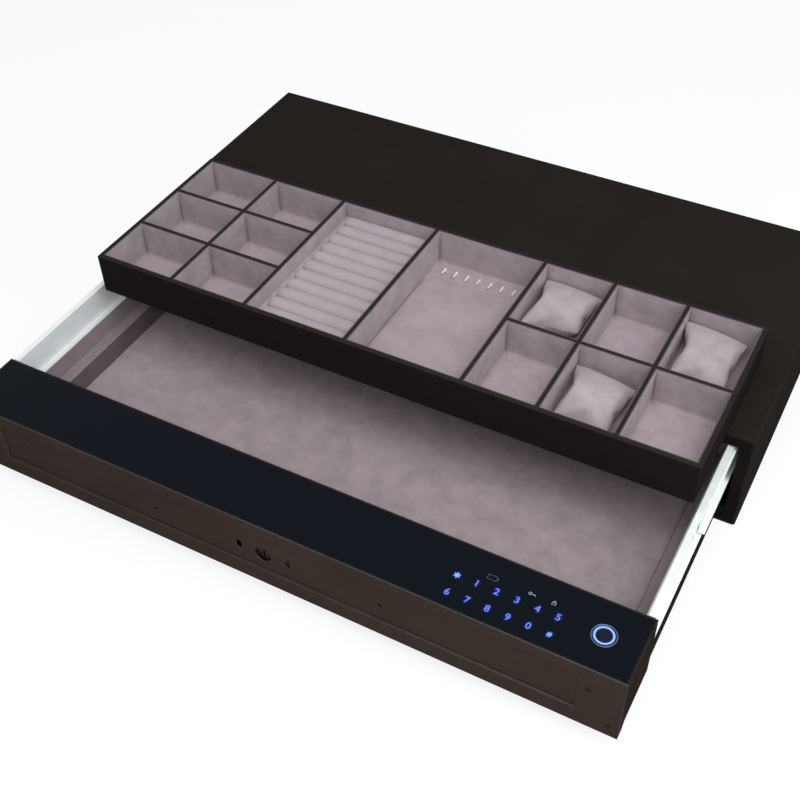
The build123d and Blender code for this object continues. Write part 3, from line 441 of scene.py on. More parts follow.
def side_lining(name, side, node, skirt):
    """One side's lining, run along the drawer between the two end linings."""
    outline = rounded_section(ledge_section, 0.9)
    front = floor_front + board_thick
    length = floor_rear - board_thick - front
    mesh = bmesh.new()
    rings = []
    count = 64
    for k in range(count + 1):
        y = front + length * k / count
        inset = 0.5 if k in (0, count) else 0.0
        ring = []
        for spot in outline:
            push = ripple(Vector((spot.x, y, spot.y)), 34.0, 0.3, 20.0 * side)
            shrink = 0 if spot.x > wall_side - 2 else push - 0.2
            place = Vector((side * (spot.x - shrink + inset), y, spot.y - inset))
            ring.append(mesh.verts.new(place * mm))
        rings.append(ring)
    for back, ahead in zip(rings, rings[1:]):
        for k in range(len(back)):
            face = [back[k - 1], back[k], ahead[k], ahead[k - 1]]
            made = mesh.faces.new(face if side < 0 else face[::-1])
            made.smooth = True
            under = (outline[k - 1] + outline[k]) / 2
            # Faces of the skirt under the ledge take the second finish, with its painted shade.
            made.material_index = 1 if under.y < skirt_top and under.x < 370 else 0
    mesh.faces.new(rings[0][::-1] if side < 0 else rings[0])
    mesh.faces.new(rings[-1] if side < 0 else rings[-1][::-1])
    bmesh.ops.recalc_face_normals(mesh, faces=mesh.faces)
    piece = fit(keep_mesh(name, mesh), shaded_side_suede, "drawer", "suede_lining", node)
    piece.data.materials.append(skirt)


side_lining("drawer_left_lining", -1, "left_side_lining", skirt_suede_in_shade)
side_lining("drawer_right_lining", 1, "right_side_lining", shaded_side_suede)

# Drawer front: a 1.5 mm pressed plate with a long shallow recess, screwed over the head case at its
# four corners. Both are coated in a warm bronze-brown texture paint, paler at the edges: partly rubbed
# paint, partly a painted highlight.

bronze = coated("bronze metallic paint", (0.058, 0.044, 0.038), (0.2, 0.18, 0.165), grain=1000.0,
                sheen=0.42, Metallic=0.8, Specular_IOR_Level=0.1, Specular_Tint=(0.2, 0.17, 0.15, 1))
dress(bronze, "front_plate")
case_bronze = coated("bronze paint on the case", (0.028, 0.0205, 0.016), (0.11, 0.1, 0.09),
                     grain=1000.0, Specular_IOR_Level=0.0)
dress(case_bronze, "head_case")
screw_bronze = bare_metal("bronzed screws", (0.04, 0.03, 0.025), 0.4, edge=0.0002, metallic=0.6,
                          Specular_IOR_Level=0.1, Specular_Tint=(0.2, 0.17, 0.15, 1))
dress(screw_bronze, "front_screws")

# Glass top: 4 mm toughened glass, its underside printed navy black, glued over the head. The
# keypad shines through it, and the fingerprint reader's flange sits on it in a drilled hole.

glass, tree, shader = start_finish("back-printed glass", Specular_IOR_Level=0.05)
smear = mottled(tree, own_place(tree), 26.0, 5.0, distortion=1.5)
touch = ranged(tree, smear, 0.4, 0.75, 0.05, 0.2)
ink = mixed(tree, smear, (0.0024, 0.0046, 0.0085), (0.0032, 0.0056, 0.0098))
# Painted highlight: the glass turns pale grey along its edges, as though they caught the light.
edges = effect(tree, "soft edge", {"Radius": 0.0006})
ink_with_edge_highlight = mixed(tree, edges.outputs["Edge"], ink, (0.11, 0.13, 0.14))
wire(tree, shader, {"Base Color": ink_with_edge_highlight, "Roughness": touch, "Normal": edges.outputs["Normal"]})
dress(glass, "glass_top")

# Keypad: twelve touch keys printed as clear marks in the glass's black back, each lit blue from
# below by a diode in the light guide, with three white state marks behind them.

key_middle = Vector((261.5, -497.5))
key_pitch = Vector((21.4, 22.0))
glass_face = 118.5
print_height = glass_face + 0.08
haze_height = glass_face + 0.03
key_rows = ("*12345", "67890#")
digit_size = 10.6
odd_marks = {"*": ("star", 14.5, 0.2), "#": ("hash", 7.6, 0.08)}
haze_reach = 9.0
mark_row = -473.4
dark_window = (0.01, 0.015, 0.03, 1)


def lit(name, colour, strength, across=(1, 1, 1)):
    """A mark that light shines through, a little uneven as a diode leaves it."""
    finish, tree, shader = start_finish(name, Base_Color=dark_window, Roughness=0.3,
                                        Specular_IOR_Level=0.1, Emission_Strength=strength)
    uneven = mottled(tree, own_place(tree), 160.0)
    faded = [level * share for level, share in zip(colour, across)]
    wire(tree, shader, {"Emission Color": mixed(tree, uneven, colour, faded)})
    return finish


key_light = lit("key light", (0.24, 0.36, 1.0), 1.0, across=(0.8, 0.85, 1.0))
star_light = lit("star light", (0.36, 0.6, 1.0), 1.1, across=(0.9, 0.95, 1.0))
mark_light = lit("battery mark light", (0.3, 0.33, 0.34), 0.65, across=(0.8, 0.85, 0.9))
sign_light = lit("state mark light", (0.5, 0.56, 0.55), 1.0, across=(0.8, 0.85, 0.9))


def as_mesh(thing):
    """The mesh that an object's curve or modifiers make."""
    bpy.context.view_layer.update()
    return bpy.data.meshes.new_from_object(thing.evaluated_get(bpy.context.evaluated_depsgraph_get()))


def cut_out(name, curve):
    """The mesh of a drawn curve, at the origin."""
    maker = bring_in(name + "_outline", curve)
    data = as_mesh(maker)
    bpy.data.objects.remove(maker)
    data.name = name
    return data


def printed_sign(name, text, x, y, size, swell):
    """One character of the built-in typeface, flat on the glass and bolder by swell."""
    curve = bpy.data.curves.new(name, "FONT")
    adjust(curve, body=text, size=size * mm, align_x="CENTER", align_y="CENTER", offset=swell * mm,
           resolution_u=6)
    data = cut_out(name, curve)
    xs = [v.co.x for v in data.vertices]
    ys = [v.co.y for v in data.vertices]
    middle = Vector(((min(xs) + max(xs)) / 2, (min(ys) + max(ys)) / 2, 0))
    data.transform(Matrix.Translation(Vector((x, y, print_height)) * mm - middle))
    return bring_in(name, data)


# Painted light: a glowing sheet on the glass paints the blue halo that each key's light spreads round
# it.
haze_mesh = bmesh.new()
haze_layer = haze_mesh.verts.layers.float.new("glow")


def haze_round(sign, x, y):
    """A patch of the blue haze about one mark, strong at its outline and gone 3 mm away."""
    rim = []
    for edge in sign.data.edges:
        start, end = (sign.data.vertices[k].co * 1000 for k in edge.vertices)
        count = max(1, math.ceil((end - start).length / 0.4))
        rim += [start.lerp(end, k / count) for k in range(count)]
    count = 36
    grid = []
    for i in range(count + 1):
        line = []
        for j in range(count + 1):
            spot = Vector((x + haze_reach * (2 * i / count - 1), y + haze_reach * (2 * j / count - 1),
                           haze_height))
            point = haze_mesh.verts.new(spot * mm)
            near = min(math.hypot(spot.x - place.x, spot.y - place.y) for place in rim)
            point[haze_layer] = math.exp(-((near / 1.5) ** 2))
            line.append(point)
        grid.append(line)
    for back, ahead in zip(grid, grid[1:]):
        for j in range(count):
            corners = (back[j], ahead[j], ahead[j + 1], back[j + 1])
            if max(point[haze_layer] for point in corners) > 0.02:
                haze_mesh.faces.new(corners)


for row, line in enumerate(key_rows):
    for column, text in enumerate(line):
        x = key_middle.x + (column - 2.5) * key_pitch.x
        y = key_middle.y + (0.5 - row) * key_pitch.y
        label, size, swell = odd_marks.get(text, (text, digit_size, 0.0))
        sign = printed_sign("key_" + label, text, x, y, size, swell)
        fit(sign, star_light if text in odd_marks else key_light, "drawer", "light_plastic")
        haze_round(sign, x, y)

loose = [point for point in haze_mesh.verts if not point.link_faces]
bmesh.ops.delete(haze_mesh, geom=loose, context="VERTS")
key_haze = keep_mesh("key_haze", haze_mesh)
haze_finish, tree, shader = start_finish("key haze", Base_Color=(0.002, 0.004, 0.01, 1), Roughness=0.2,
                                         Specular_IOR_Level=0.05, Emission_Strength=0.7)
fall = put(tree, "Attribute", attribute_name="glow").outputs["Fac"]
blue = mixed(tree, fall, (0.0, 0.005, 0.06), (0.03, 0.06, 0.55))
veil = reckon(tree, "MULTIPLY", fall, 0.9, clamp=True)
wire(tree, shader, {"Emission Color": blue, "Alpha": veil})
fit(key_haze, haze_finish, "drawer", "light_plastic")


def drawn_mark(name, lines, x, y, width, finish):
    """Thin printed lines on the glass, each a list of points in mm from the mark's middle."""
    curve = bpy.data.curves.new(name, "CURVE")
    adjust(curve, dimensions="3D", bevel_depth=width / 2 * mm, bevel_resolution=1)
    for closed, spots in lines:
        spline = curve.splines.new("POLY")
        spline.points.add(len(spots) - 1)
        for point, (a, b) in zip(spline.points, spots):
            point.co = (a * mm, b * mm, 0, 1)
        spline.use_cyclic_u = closed
    data = cut_out(name, curve)
    flatten = Matrix.Diagonal((1, 1, 0.2, 1))
    data.transform(Matrix.Translation(Vector((x, y, print_height)) * mm) @ flatten)
    fit(bring_in(name, data), finish, "drawer", "light_plastic")


def ring_of(x, y, radius, count=16, start=0.0, turn=360.0):
    """Points round a circle or part of one."""
    ends = 1 if turn < 360 else 0
    angles = [math.radians(start + turn * k / count) for k in range(count + ends)]
    return [(x + radius * math.cos(angle), y + radius * math.sin(angle)) for angle in angles]


drawn_mark("battery_mark", [
    (True, [(-5.2, -2.7), (4.6, -2.7), (4.6, 2.7), (-5.2, 2.7)]),
    (False, [(5.6, -1.1), (5.6, 1.1)]),
], 240.4, mark_row, 0.42, mark_light)
drawn_mark("key_mark", [
    (True, ring_of(-2.2, 0, 1.5)),
    (False, [(-0.7, 0), (3.3, 0), (3.3, -1.3)]),
    (False, [(1.9, 0), (1.9, -1.1)]),
], 282.5, mark_row, 0.56, sign_light)
drawn_mark("lock_mark", [
    (True, [(-1.9, -2.2), (1.9, -2.2), (1.9, 0.4), (-1.9, 0.4)]),
    (False, [(-1.2, 0.4)] + ring_of(0, 1.1, 1.2, 10, 180.0, -180.0) + [(1.2, 0.4)]),
], 305.2, mark_row, 0.56, sign_light)

guide_plastic, tree, shader = start_finish("black moulded plastic", Specular_IOR_Level=0.3)
spark = put(tree, "TexVoronoi", {"Vector": own_place(tree), "Scale": 1600.0})
tone = mixed(tree, spark, (0.008, 0.008, 0.009), (0.02, 0.02, 0.021))
matt = ranged(tree, spark, 0.0, 1.0, 0.42, 0.6)
skin = put(tree, "Bump", {"Height": spark, "Distance": 0.00008})
wire(tree, shader, {"Base Color": tone, "Roughness": matt, "Normal": skin})
dress(guide_plastic, "keypad_light_guide")
dress(lit("key diodes", (0.25, 0.4, 1.0), 0.6, across=(0.7, 0.8, 1.0)), "keypad_lights")

# Fingerprint reader: a turned steel bezel through the glass, its flange anodised deep blue inside a
# bare polished rim, held by a nut from below round a bright ring of light and a dark sensor.

reader_place = Vector((361.0, -486.0))
rim_radius = 12.2
light_ring_radius = 9.35
bezel_outline = [(10.65, 110.5), (10.65, 118.75), (10.9, 118.95), (12.0, 119.0), (12.2, 119.2),
                 (12.45, 119.3), (12.75, 119.25), (12.95, 119.05), (13.0, 118.5), (11.4, 118.5),
                 (11.4, 110.5)]


def turned_piece(name, outline, place, steps_round=72):
    """A ring turned from an outline of (radius, height) points in mm, closed on itself."""
    mesh = bmesh.new()
    rings = []
    for k in range(steps_round):
        angle = 2 * math.pi * k / steps_round
        rings.append([mesh.verts.new(Vector((place.x + radius * math.cos(angle),
                                             place.y + radius * math.sin(angle), height)) * mm)
                      for radius, height in outline])
    for k, ring in enumerate(rings):
        before = rings[k - 1]
        for j in range(len(outline)):
            mesh.faces.new((before[j - 1], ring[j - 1], ring[j], before[j])).smooth = True
    bmesh.ops.recalc_face_normals(mesh, faces=mesh.faces)
    return keep_mesh(name, mesh)


def from_middle(tree):
    """Places on the reader, in metres from its middle."""
    place = own_place(tree)
    return put(tree, "Mapping", {"Vector": place, "Location": (*(-reader_place / 1000), 0)})


def way_out(tree, place):
    """How far out such a place lies, in mm."""
    flat = put(tree, "VectorMath", {0: place, 1: (1000.0, 1000.0, 0.0)}, operation="MULTIPLY")
    return put(tree, "VectorMath", {0: flat}, operation="LENGTH")


bezel_finish, tree, shader = start_finish("bezel steel", Metallic=0.6, Roughness=0.3,
                                          Specular_IOR_Level=0.2)
out = way_out(tree, from_middle(tree))
turning = put(tree, "TexNoise", {"W": out, "Scale": 9.0}, noise_dimensions="1D")
rim = ranged(tree, out, rim_radius - 0.15, rim_radius + 0.15, 0.0, 1.0)
tone = mixed(tree, rim, (0.016, 0.04, 0.13), (0.15, 0.18, 0.26))
fine = ranged(tree, turning, 0.0, 1.0, 0.8, 1.15)
wire(tree, shader, {"Base Color": scaled(tree, tone, fine)})
bezel = turned_piece("reader_bezel_ring", bezel_outline, reader_place)
fit(bezel, bezel_finish, "drawer", "polished_chrome", "reader_bezel")
dress(screw_zinc, "reader_nut")

ring_light, tree, shader = start_finish("reader ring light", Base_Color=dark_window, Roughness=0.3,
                                        Specular_IOR_Level=0.1, Emission_Strength=1.0)
away = reckon(tree, "SUBTRACT", way_out(tree, from_middle(tree)), light_ring_radius)
full = ranged(tree, reckon(tree, "ABSOLUTE", away), 0.55, 1.15, 1.0, 0.0)
full.interpolation_type = "SMOOTHSTEP"
glow = mixed(tree, full, (0.015, 0.07, 0.36), (0.42, 0.68, 1.05))
wire(tree, shader, {"Emission Color": glow})
dress(ring_light, "reader_light")

sensor, tree, shader = start_finish("sensor window", Specular_IOR_Level=0.05, Emission_Strength=1.0)
moved = from_middle(tree)
whorl = put(tree, "TexWave", {"Vector": moved, "Scale": 150.0, "Distortion": 2.5, "Detail": 1.0},
            wave_type="RINGS", rings_direction="SPHERICAL").outputs["Fac"]
ridges = mixed(tree, whorl, (0.006, 0.008, 0.016), (0.011, 0.015, 0.03))
slick = ranged(tree, whorl, 0.0, 1.0, 0.12, 0.3)
# Painted light: the sensor window glows blue near its rim, where the ring's light would spill into it.
spill = ranged(tree, way_out(tree, moved), 6.9, 8.3, 0.0, 1.0)
glow = mixed(tree, spill, (0.002, 0.003, 0.009), (0.012, 0.06, 0.32))
wire(tree, shader, {"Base Color": ridges, "Roughness": slick, "Emission Color": glow})
dress(sensor, "reader_sensor")

# Electronics: two green laminate boards on brass standoffs, and four AA cells in a plastic box
# whose lid is screwed on from below.

laminate, tree, shader = start_finish("board laminate", Specular_IOR_Level=0.4, Roughness=0.4)
tracks = put(tree, "TexBrick", {"Vector": own_place(tree), "Scale": 60.0, "Mortar Size": 0.03,
                                "Color1": (0.01, 0.09, 0.04), "Color2": (0.012, 0.1, 0.045),
                                "Mortar": (0.03, 0.16, 0.07)})
wire(tree, shader, {"Base Color": tracks})
dress(laminate, "keypad_board", "main_board")

brass = bare_metal("turned brass", (0.78, 0.57, 0.25), 0.28, edge=0.0003)
dress(brass, "board_standoffs")
dress(guide_plastic, "battery_box", "battery_cover", "bolt_guides")
dress(screw_zinc, "cover_screws")

jacket, tree, shader = start_finish("cell jacket", Specular_IOR_Level=0.5, Roughness=0.3)
place = own_place(tree)
along = put(tree, "SeparateXYZ", {0: place}).outputs["X"]
wrap = reckon(tree, "FRACT", reckon(tree, "MULTIPLY", along, 38.0))
scuff = mottled(tree, place, 300.0)
cut = reckon(tree, "GREATER_THAN", wrap, 0.7)
tone = mixed(tree, cut, (0.03, 0.035, 0.05), (0.42, 0.3, 0.12))
matt = ranged(tree, scuff, 0.0, 1.0, 0.2, 0.45)
wire(tree, shader, {"Base Color": tone, "Roughness": matt})
dress(jacket, "batteries")

# Lock: a turned disc throws a steel bolt to each side. The override key's cylinder turns it
# from the front, and a small gear motor from behind, all on one folded bracket.

dress(zinc, "lock_bracket", "lock_disc", "cylinder_nut", "gear_motor")
# Painted shade: the key cylinder and plug are painted near black for the shade inside the keyhole.
brass_darkened_for_shade = bare_metal("brass darkened for the keyhole's shade", (0.012, 0.01, 0.006), 0.5, edge=0.0003, metallic=0.5,
                         Specular_IOR_Level=0.1)
dress(brass_darkened_for_shade, "key_cylinder", "key_plug")
chrome = bare_metal("polished chrome", (0.86, 0.88, 0.9), 0.08, streaks=0.06, edge=0.0004)
dress(chrome, "left_bolt", "right_bolt")

# Jewellery tray: a shallow box of 6 mm board with notched dividers, the outside and every rim
# wrapped in fine-grained black leatherette. It is loose and lifts straight off.

tree, ins, outs = start_effect("leather grain", {
    "Hide": (0.012, 0.011, 0.01), "Worn_And_Lit": (0.05, 0.045, 0.04), "Edge": 0.0, "Grain": 900.0,
}, face_outputs)
place = own_place(tree)
wander = mottled(tree, place, 260.0).outputs["Color"]
shifted = put(tree, "VectorMath", {0: wander, 1: (0.002, 0.002, 0.002), 2: place},
              operation="MULTIPLY_ADD")
cells = put(tree, "TexVoronoi", {"Vector": shifted, "Scale": ins["Grain"]},
            feature="DISTANCE_TO_EDGE")
raised = ranged(tree, cells, 0.0, 0.25, 0.0, 1.0)
tone = ranged(tree, raised, 0.0, 1.0, 0.75, 1.12)
hide = scaled(tree, ins["Hide"], tone)
worn_and_lit = mixed(tree, ins["Edge"], hide, ins["Worn_And_Lit"])
matt = ranged(tree, raised, 0.0, 1.0, 0.72, 0.5)
wire(tree, outs, {"Color": worn_and_lit, "Roughness": matt, "Height": raised})

leatherette, tree, shader = start_finish("black leatherette", Specular_IOR_Level=0.0)
edges = effect(tree, "soft edge", {"Radius": 0.0016, "Reach": 0.5})
# Painted light: the leatherette is paler along its edges, as a highlight, and on faces that look up, as
# though lit from above.
upward = put(tree, "SeparateXYZ", {0: put(tree, "NewGeometry").outputs["Normal"]}).outputs["Z"]
lit_top = ranged(tree, upward, 0.5, 1.0, 0.0, 0.3)
rub_and_light = reckon(tree, "MAXIMUM", edges.outputs["Edge"], lit_top)
hide = effect(tree, "leather grain", {"Hide": (0.0185, 0.015, 0.0142), "Edge": rub_and_light,
                                      "Worn_And_Lit": (0.06, 0.048, 0.048)})
lay_on(tree, shader, hide, 0.0001, edges=edges)
dress(leatherette, "tray_shell", "tray_dividers")

# Cell linings: fourteen suede-covered inserts, each a thin floor and four thin walls folded from
# one blank, glued into its cell and turned half a millimetre over the rim.

tray_suede = suede("tray suede", (0.4, 0.345, 0.365), brushed=0.14, patch=42.0)
lip_suede = suede("suede pressed over the rim", (0.1, 0.085, 0.088), brushed=0.1, patch=60.0)
# Painted light: the cell floors' suede is a little lighter than the walls', standing in for the light
# that falls on them from above.
lit_cell_floor_suede = suede("cell floor suede", (0.415, 0.345, 0.38), brushed=0.1, patch=42.0)

# Columns of cells, each with its left and right side and its number of rows; then the rows.
columns = [(-358.5, -261.5, 3), (-256.5, -159.5, 3), (-154.5, -26.5, 1), (-21.5, 117.0, 1),
           (122.0, 204.5, 2), (209.5, 292.0, 2), (297.0, 379.5, 2)]
row_places = {1: [(-301.5, -75.5)], 2: [(-301.5, -191.0), (-186.0, -75.5)],
              3: [(-301.5, -229.5), (-224.5, -152.5), (-147.5, -75.5)]}
liner_floor = 142.5


def creased_loop(x0, x1, y0, y1, radius):
    """A rectangle's plan with rounded corners, each point with how much painted shade its crease takes
    there.
    """
    corners = []
    for x, y, start in ((x1 - radius, y1 - radius, 0), (x0 + radius, y1 - radius, 90),
                        (x0 + radius, y0 + radius, 180), (x1 - radius, y0 + radius, 270)):
        angles = [math.radians(start + 90 * k / 4) for k in range(5)]
        corners.append([Vector((x + radius * math.cos(angle), y + radius * math.sin(angle)))
                        for angle in angles])
    loop = []
    for k, corner in enumerate(corners):
        loop += [(*spot, 1.0) for spot in corner]
        start = corner[-1]
        way = corners[(k + 1) % 4][0] - start
        for reach, dark in ((2.2, 0.3), (9.0, 0.06), (way.length - 9.0, 0.06), (way.length - 2.2, 0.3)):
            loop.append((*(start + way.normalized() * reach), dark))
    return loop


def cell_liner(name, x0, x1, y0, y1):
    """Outer wall, rounded lip, inner wall, a soft fold and a floor that is softly crowned."""
    mesh = bmesh.new()
    # Painted shade: the cloth darkens into the corners, down the inner walls and round the edge of the
    # floor.
    crease_shade = mesh.verts.layers.float.new("crease_shade")
    rings = []
    # Each ring's inset, height and corner radius, its share of the crease's painted shade, and the
    # least painted shade.
    levels = [(0.1, 141.1, 1.0, 0, 0), (0.1, 188.0, 1.0, 0, 0), (-0.5, 188.05, 0.8, 0, 0),
              (-0.45, 188.2, 0.8, 0, 0), (0.4, 188.3, 1.0, 0, 0), (0.8, 187.9, 1.0, 0.4, 0),
              (0.8, 176.0, 1.0, 0.8, 0), (0.8, 160.0, 1.0, 1.0, 0.02), (0.8, 145.5, 1.0, 1.0, 0.12),
              (0.95, 144.2, 1.1, 0.75, 0.22), (1.5, 143.3, 1.3, 0.75, 0.25),
              (2.4, 142.7, 1.7, 0.6, 0.15), (4.0, liner_floor, 2.4, 0.4, 0.08)]
    for inset, z, radius, share, least in levels:
        ring = []
        for x, y, dark in creased_loop(x0 + inset, x1 - inset, y0 + inset, y1 - inset, radius):
            ring.append(mesh.verts.new(Vector((x, y, z)) * mm))
            ring[-1][crease_shade] = max(least, dark * share)
        rings.append(ring)
    middle = Vector(((x0 + x1) / 2, (y0 + y1) / 2))
    edge = creased_loop(x0 + 4, x1 - 4, y0 + 4, y1 - 4, 2.4)
    for share in (0.9, 0.72, 0.5, 0.25):
        ring = []
        for x, y, dark in edge:
            spot = middle + (Vector((x, y)) - middle) * share
            rise = 0.5 * (1 - share ** 4) + ripple(Vector((spot.x, spot.y, 0)), 22.0, 0.25, 11.0)
            ring.append(mesh.verts.new(Vector((spot.x, spot.y, liner_floor + max(0.02, rise))) * mm))
        rings.append(ring)
    for level, (back, ahead) in enumerate(zip(rings, rings[1:])):
        for k in range(len(back)):
            made = mesh.faces.new((back[k - 1], back[k], ahead[k], ahead[k - 1]))
            made.smooth = level > 6 or 0 < k % 9 < 5
            made.material_index = 2 if level < 5 else int(level > 10)
    made = mesh.faces.new(rings[-1])
    made.smooth = True
    made.material_index = 1
    mesh.faces.new(rings[0][::-1])
    bmesh.ops.recalc_face_normals(mesh, faces=mesh.faces)
    piece = fit(keep_mesh(name, mesh), tray_suede, "tray", "suede_lining", "cell_linings")
    piece.data.materials.append(lit_cell_floor_suede)
    piece.data.materials.append(lip_suede)


for column, (x0, x1, rows) in enumerate(columns):
    for row, (y0, y1) in enumerate(row_places[rows]):
        cell_liner(f"cell_liner_{column + 1}_{row + 1}", x0, x1, y0, y1)

# Ring pad: eleven foam rolls wrapped in one piece of suede that is tucked into the slit between
# each two, so that rings stand in the slits. A lower strip closes the gap at each end of the rolls.

roll_pitch = 19.6
first_roll = -85.6
roll_left = -147.5
roll_right = -33.5
roll_top = 173.0
strip_top = 167.5
pad_foot = 142.6
pad_front = -301.0
bay_rear = -76.0
roll_suede = suede("ring pad suede", (0.44, 0.385, 0.412), brushed=0.07, patch=50.0)


def rolled(point):
    """Presses the block's top into rolls: full and nearly flat on top, tight at the slits."""
    place = (first_roll + roll_pitch / 2 - point.y) / roll_pitch
    number = math.floor(place)
    across = abs(2 * (place - number) - 1)
    full = (1 - min(across, 0.999) ** 2.2) ** (1 / 2.2)
    sag = 10.5 * (1 - full)
    share = (point.z - pad_foot) / (roll_top - pad_foot)
    wander = ripple(Vector((point.x, number * 40.0, 5)), 30.0, 0.5)
    drop = (sag + wander * full + 0.3) * share
    side = min(point.x - roll_left, roll_right - point.x)
    drop += (2.0 + 9.0 * (1 - full) ** 2) * share * math.exp(-side / 2.6)
    return Vector((point.x, point.y + 0.35 * wander * share, point.z - drop))


ring_rolls = wrapped("ring_rolls", (roll_left, pad_front, pad_foot), (roll_right, bay_rear, roll_top),
                     board_turn, (2.5, 0.9, 6), rolled)
fit(ring_rolls, roll_suede, "tray", "suede_lining", "ring_pad")

# Painted shade: the suede is darkened where it is tucked into the slits, most of all at the left.
crease_shade = ring_rolls.data.attributes.new("crease_shade", "FLOAT", "POINT")
for vertex, mark in zip(ring_rolls.data.vertices, crease_shade.data):
    deep = min(1.0, max(0.0, (roll_top - 4.0 - vertex.co.z * 1000) / 9.0))
    mark.value = deep * (0.35 + 0.65 * math.exp(-(vertex.co.x * 1000 - roll_left) / 6.0))
for side, x0, x1 in (("left", -154.1, -147.7), ("right", -33.3, -26.9)):
    strip = wrapped(f"ring_pad_{side}_strip", (x0, pad_front, pad_foot), (x1, bay_rear, strip_top),
                    board_turn, (2, 8, 6))
    fit(strip, tray_suede, "tray", "suede_lining", "ring_pad")

# Necklace pad: a flat foam pad wrapped in suede, its rear corners rounded, in front of the hooks.
# The hooks are bent chrome wire pushed through the lining into the tray's floor.

necklace_suede = suede("necklace pad suede", (0.4, 0.336, 0.362), brushed=0.1, patch=26.0)
face_left = -20.0
face_right = 115.5
face_rear = -110.6
face_top = 152.5
corner_radius = 30.0


def necklace_form(point):
    """Rounds the two rear corners in plan and crowns the face."""
    x, y = point.x, point.y
    middle = (face_left + face_right) / 2
    rear = y - face_rear + corner_radius
    out = max(face_left + corner_radius - x, x - (face_right - corner_radius))
    if rear > 0 and out > 0:
        size = max(rear, out) / math.hypot(rear, out)
        x -= math.copysign(out * (1 - size), x - middle)
        y += rear * (size - 1)
    share = (point.z - liner_floor) / 10.0
    u = (x - middle) / 68.15
    v = (y - (pad_front + face_rear) / 2) / 95.2
    crown = 4.0 * (1 - abs(u) ** 4) * (1 - min(1, abs(v)) ** 6)
    dent = ripple(Vector((x, y, 0)), 26.0, 0.45, 2.0)
    return Vector((x, y, point.z + share * (crown - 4.6 + dent)))


necklace_pad = wrapped("necklace_cushion", (face_left, pad_front, pad_foot),
                       (face_right, face_rear, face_top), 4.9, (4, 4, 3), necklace_form)
fit(necklace_pad, necklace_suede, "tray", "suede_lining", "necklace_pad")
# Painted highlight: the chrome wire gets a near-white, nearly plain colour that stands in for the
# glints of its reflections.
hook_chrome = bare_metal("bright hook wire", (1.0, 0.97, 0.98), 0.3, streaks=0.06, edge=0.0002,
                         metallic=0.1)
dress(hook_chrome, "necklace_hooks")

# Watch pillows: three loose cushions, each two sheets of suede sewn together round the border and
# stuffed with wadding, so that the sides pull in between four pointed corners.

pillow_suede = suede("pillow suede", (0.445, 0.385, 0.405), brushed=0.14, patch=34.0)
cover_wide = 80.0
cover_deep = 94.0
across = 26
along = 32
last_frame = 20


def sewn_cover(name):
    """Two flat sheets that share their border, parted a little so that the filling has room."""
    mesh = bmesh.new()
    crease = mesh.edges.layers.float.new("crease_edge")
    made = {}

    def point(i, j, side):
        border = i in (0, across) or j in (0, along)
        key = (i, j, 0 if border else side)
        if key not in made:
            u = 2 * i / across - 1
            v = 2 * j / along - 1
            lift = 0 if border else 3.0 * side * (1 - u ** 4) * (1 - v ** 4)
            made[key] = mesh.verts.new(Vector((cover_wide / 2 * u, cover_deep / 2 * v, lift)) * mm)
        return made[key]

    for side in (1, -1):
        for i in range(across):
            for j in range(along):
                ring = [point(i, j, side), point(i + 1, j, side), point(i + 1, j + 1, side),
                        point(i, j + 1, side)]
                mesh.faces.new(ring if side > 0 else ring[::-1]).smooth = True
    border = {point for key, point in made.items() if key[2] == 0}
    for edge in mesh.edges:
        if edge.verts[0] in border and edge.verts[1] in border:
            edge[crease] = 0.5
    return keep_mesh(name, mesh)


def stuffed(piece, swell=0.022):
    """Blows the cover up as cloth, with each point held to a short way."""
    start = [v.co.copy() for v in piece.data.vertices]
    cloth = piece.modifiers.new("stuffing", "CLOTH")
    adjust(cloth.settings, quality=5, mass=0.2, use_pressure=True, uniform_pressure_force=15.0,
           tension_stiffness=15, compression_stiffness=15, bending_stiffness=0.1)
    cloth.settings.effector_weights.gravity = 0
    adjust(cloth.point_cache, frame_start=1, frame_end=last_frame)
    for number in range(1, last_frame + 1):
        bpy.context.scene.frame_set(number)
    shaped = piece.evaluated_get(bpy.context.evaluated_depsgraph_get()).to_mesh()
    places = [v.co.copy() for v in shaped.vertices]
    piece.modifiers.clear()
    for vertex, before, after in zip(piece.data.vertices, start, places):
        move = after - before
        vertex.co = before + move * min(1, swell / max(move.length, 1e-9))
    bpy.context.scene.frame_set(1)


def remade(piece, modifier, **settings):
    """Adds one modifier, applies it, and leaves its result as the piece's mesh."""
    adjust(piece.modifiers.new(modifier.lower(), modifier), **settings)
    data = as_mesh(piece)
    piece.modifiers.clear()
    piece.data = data


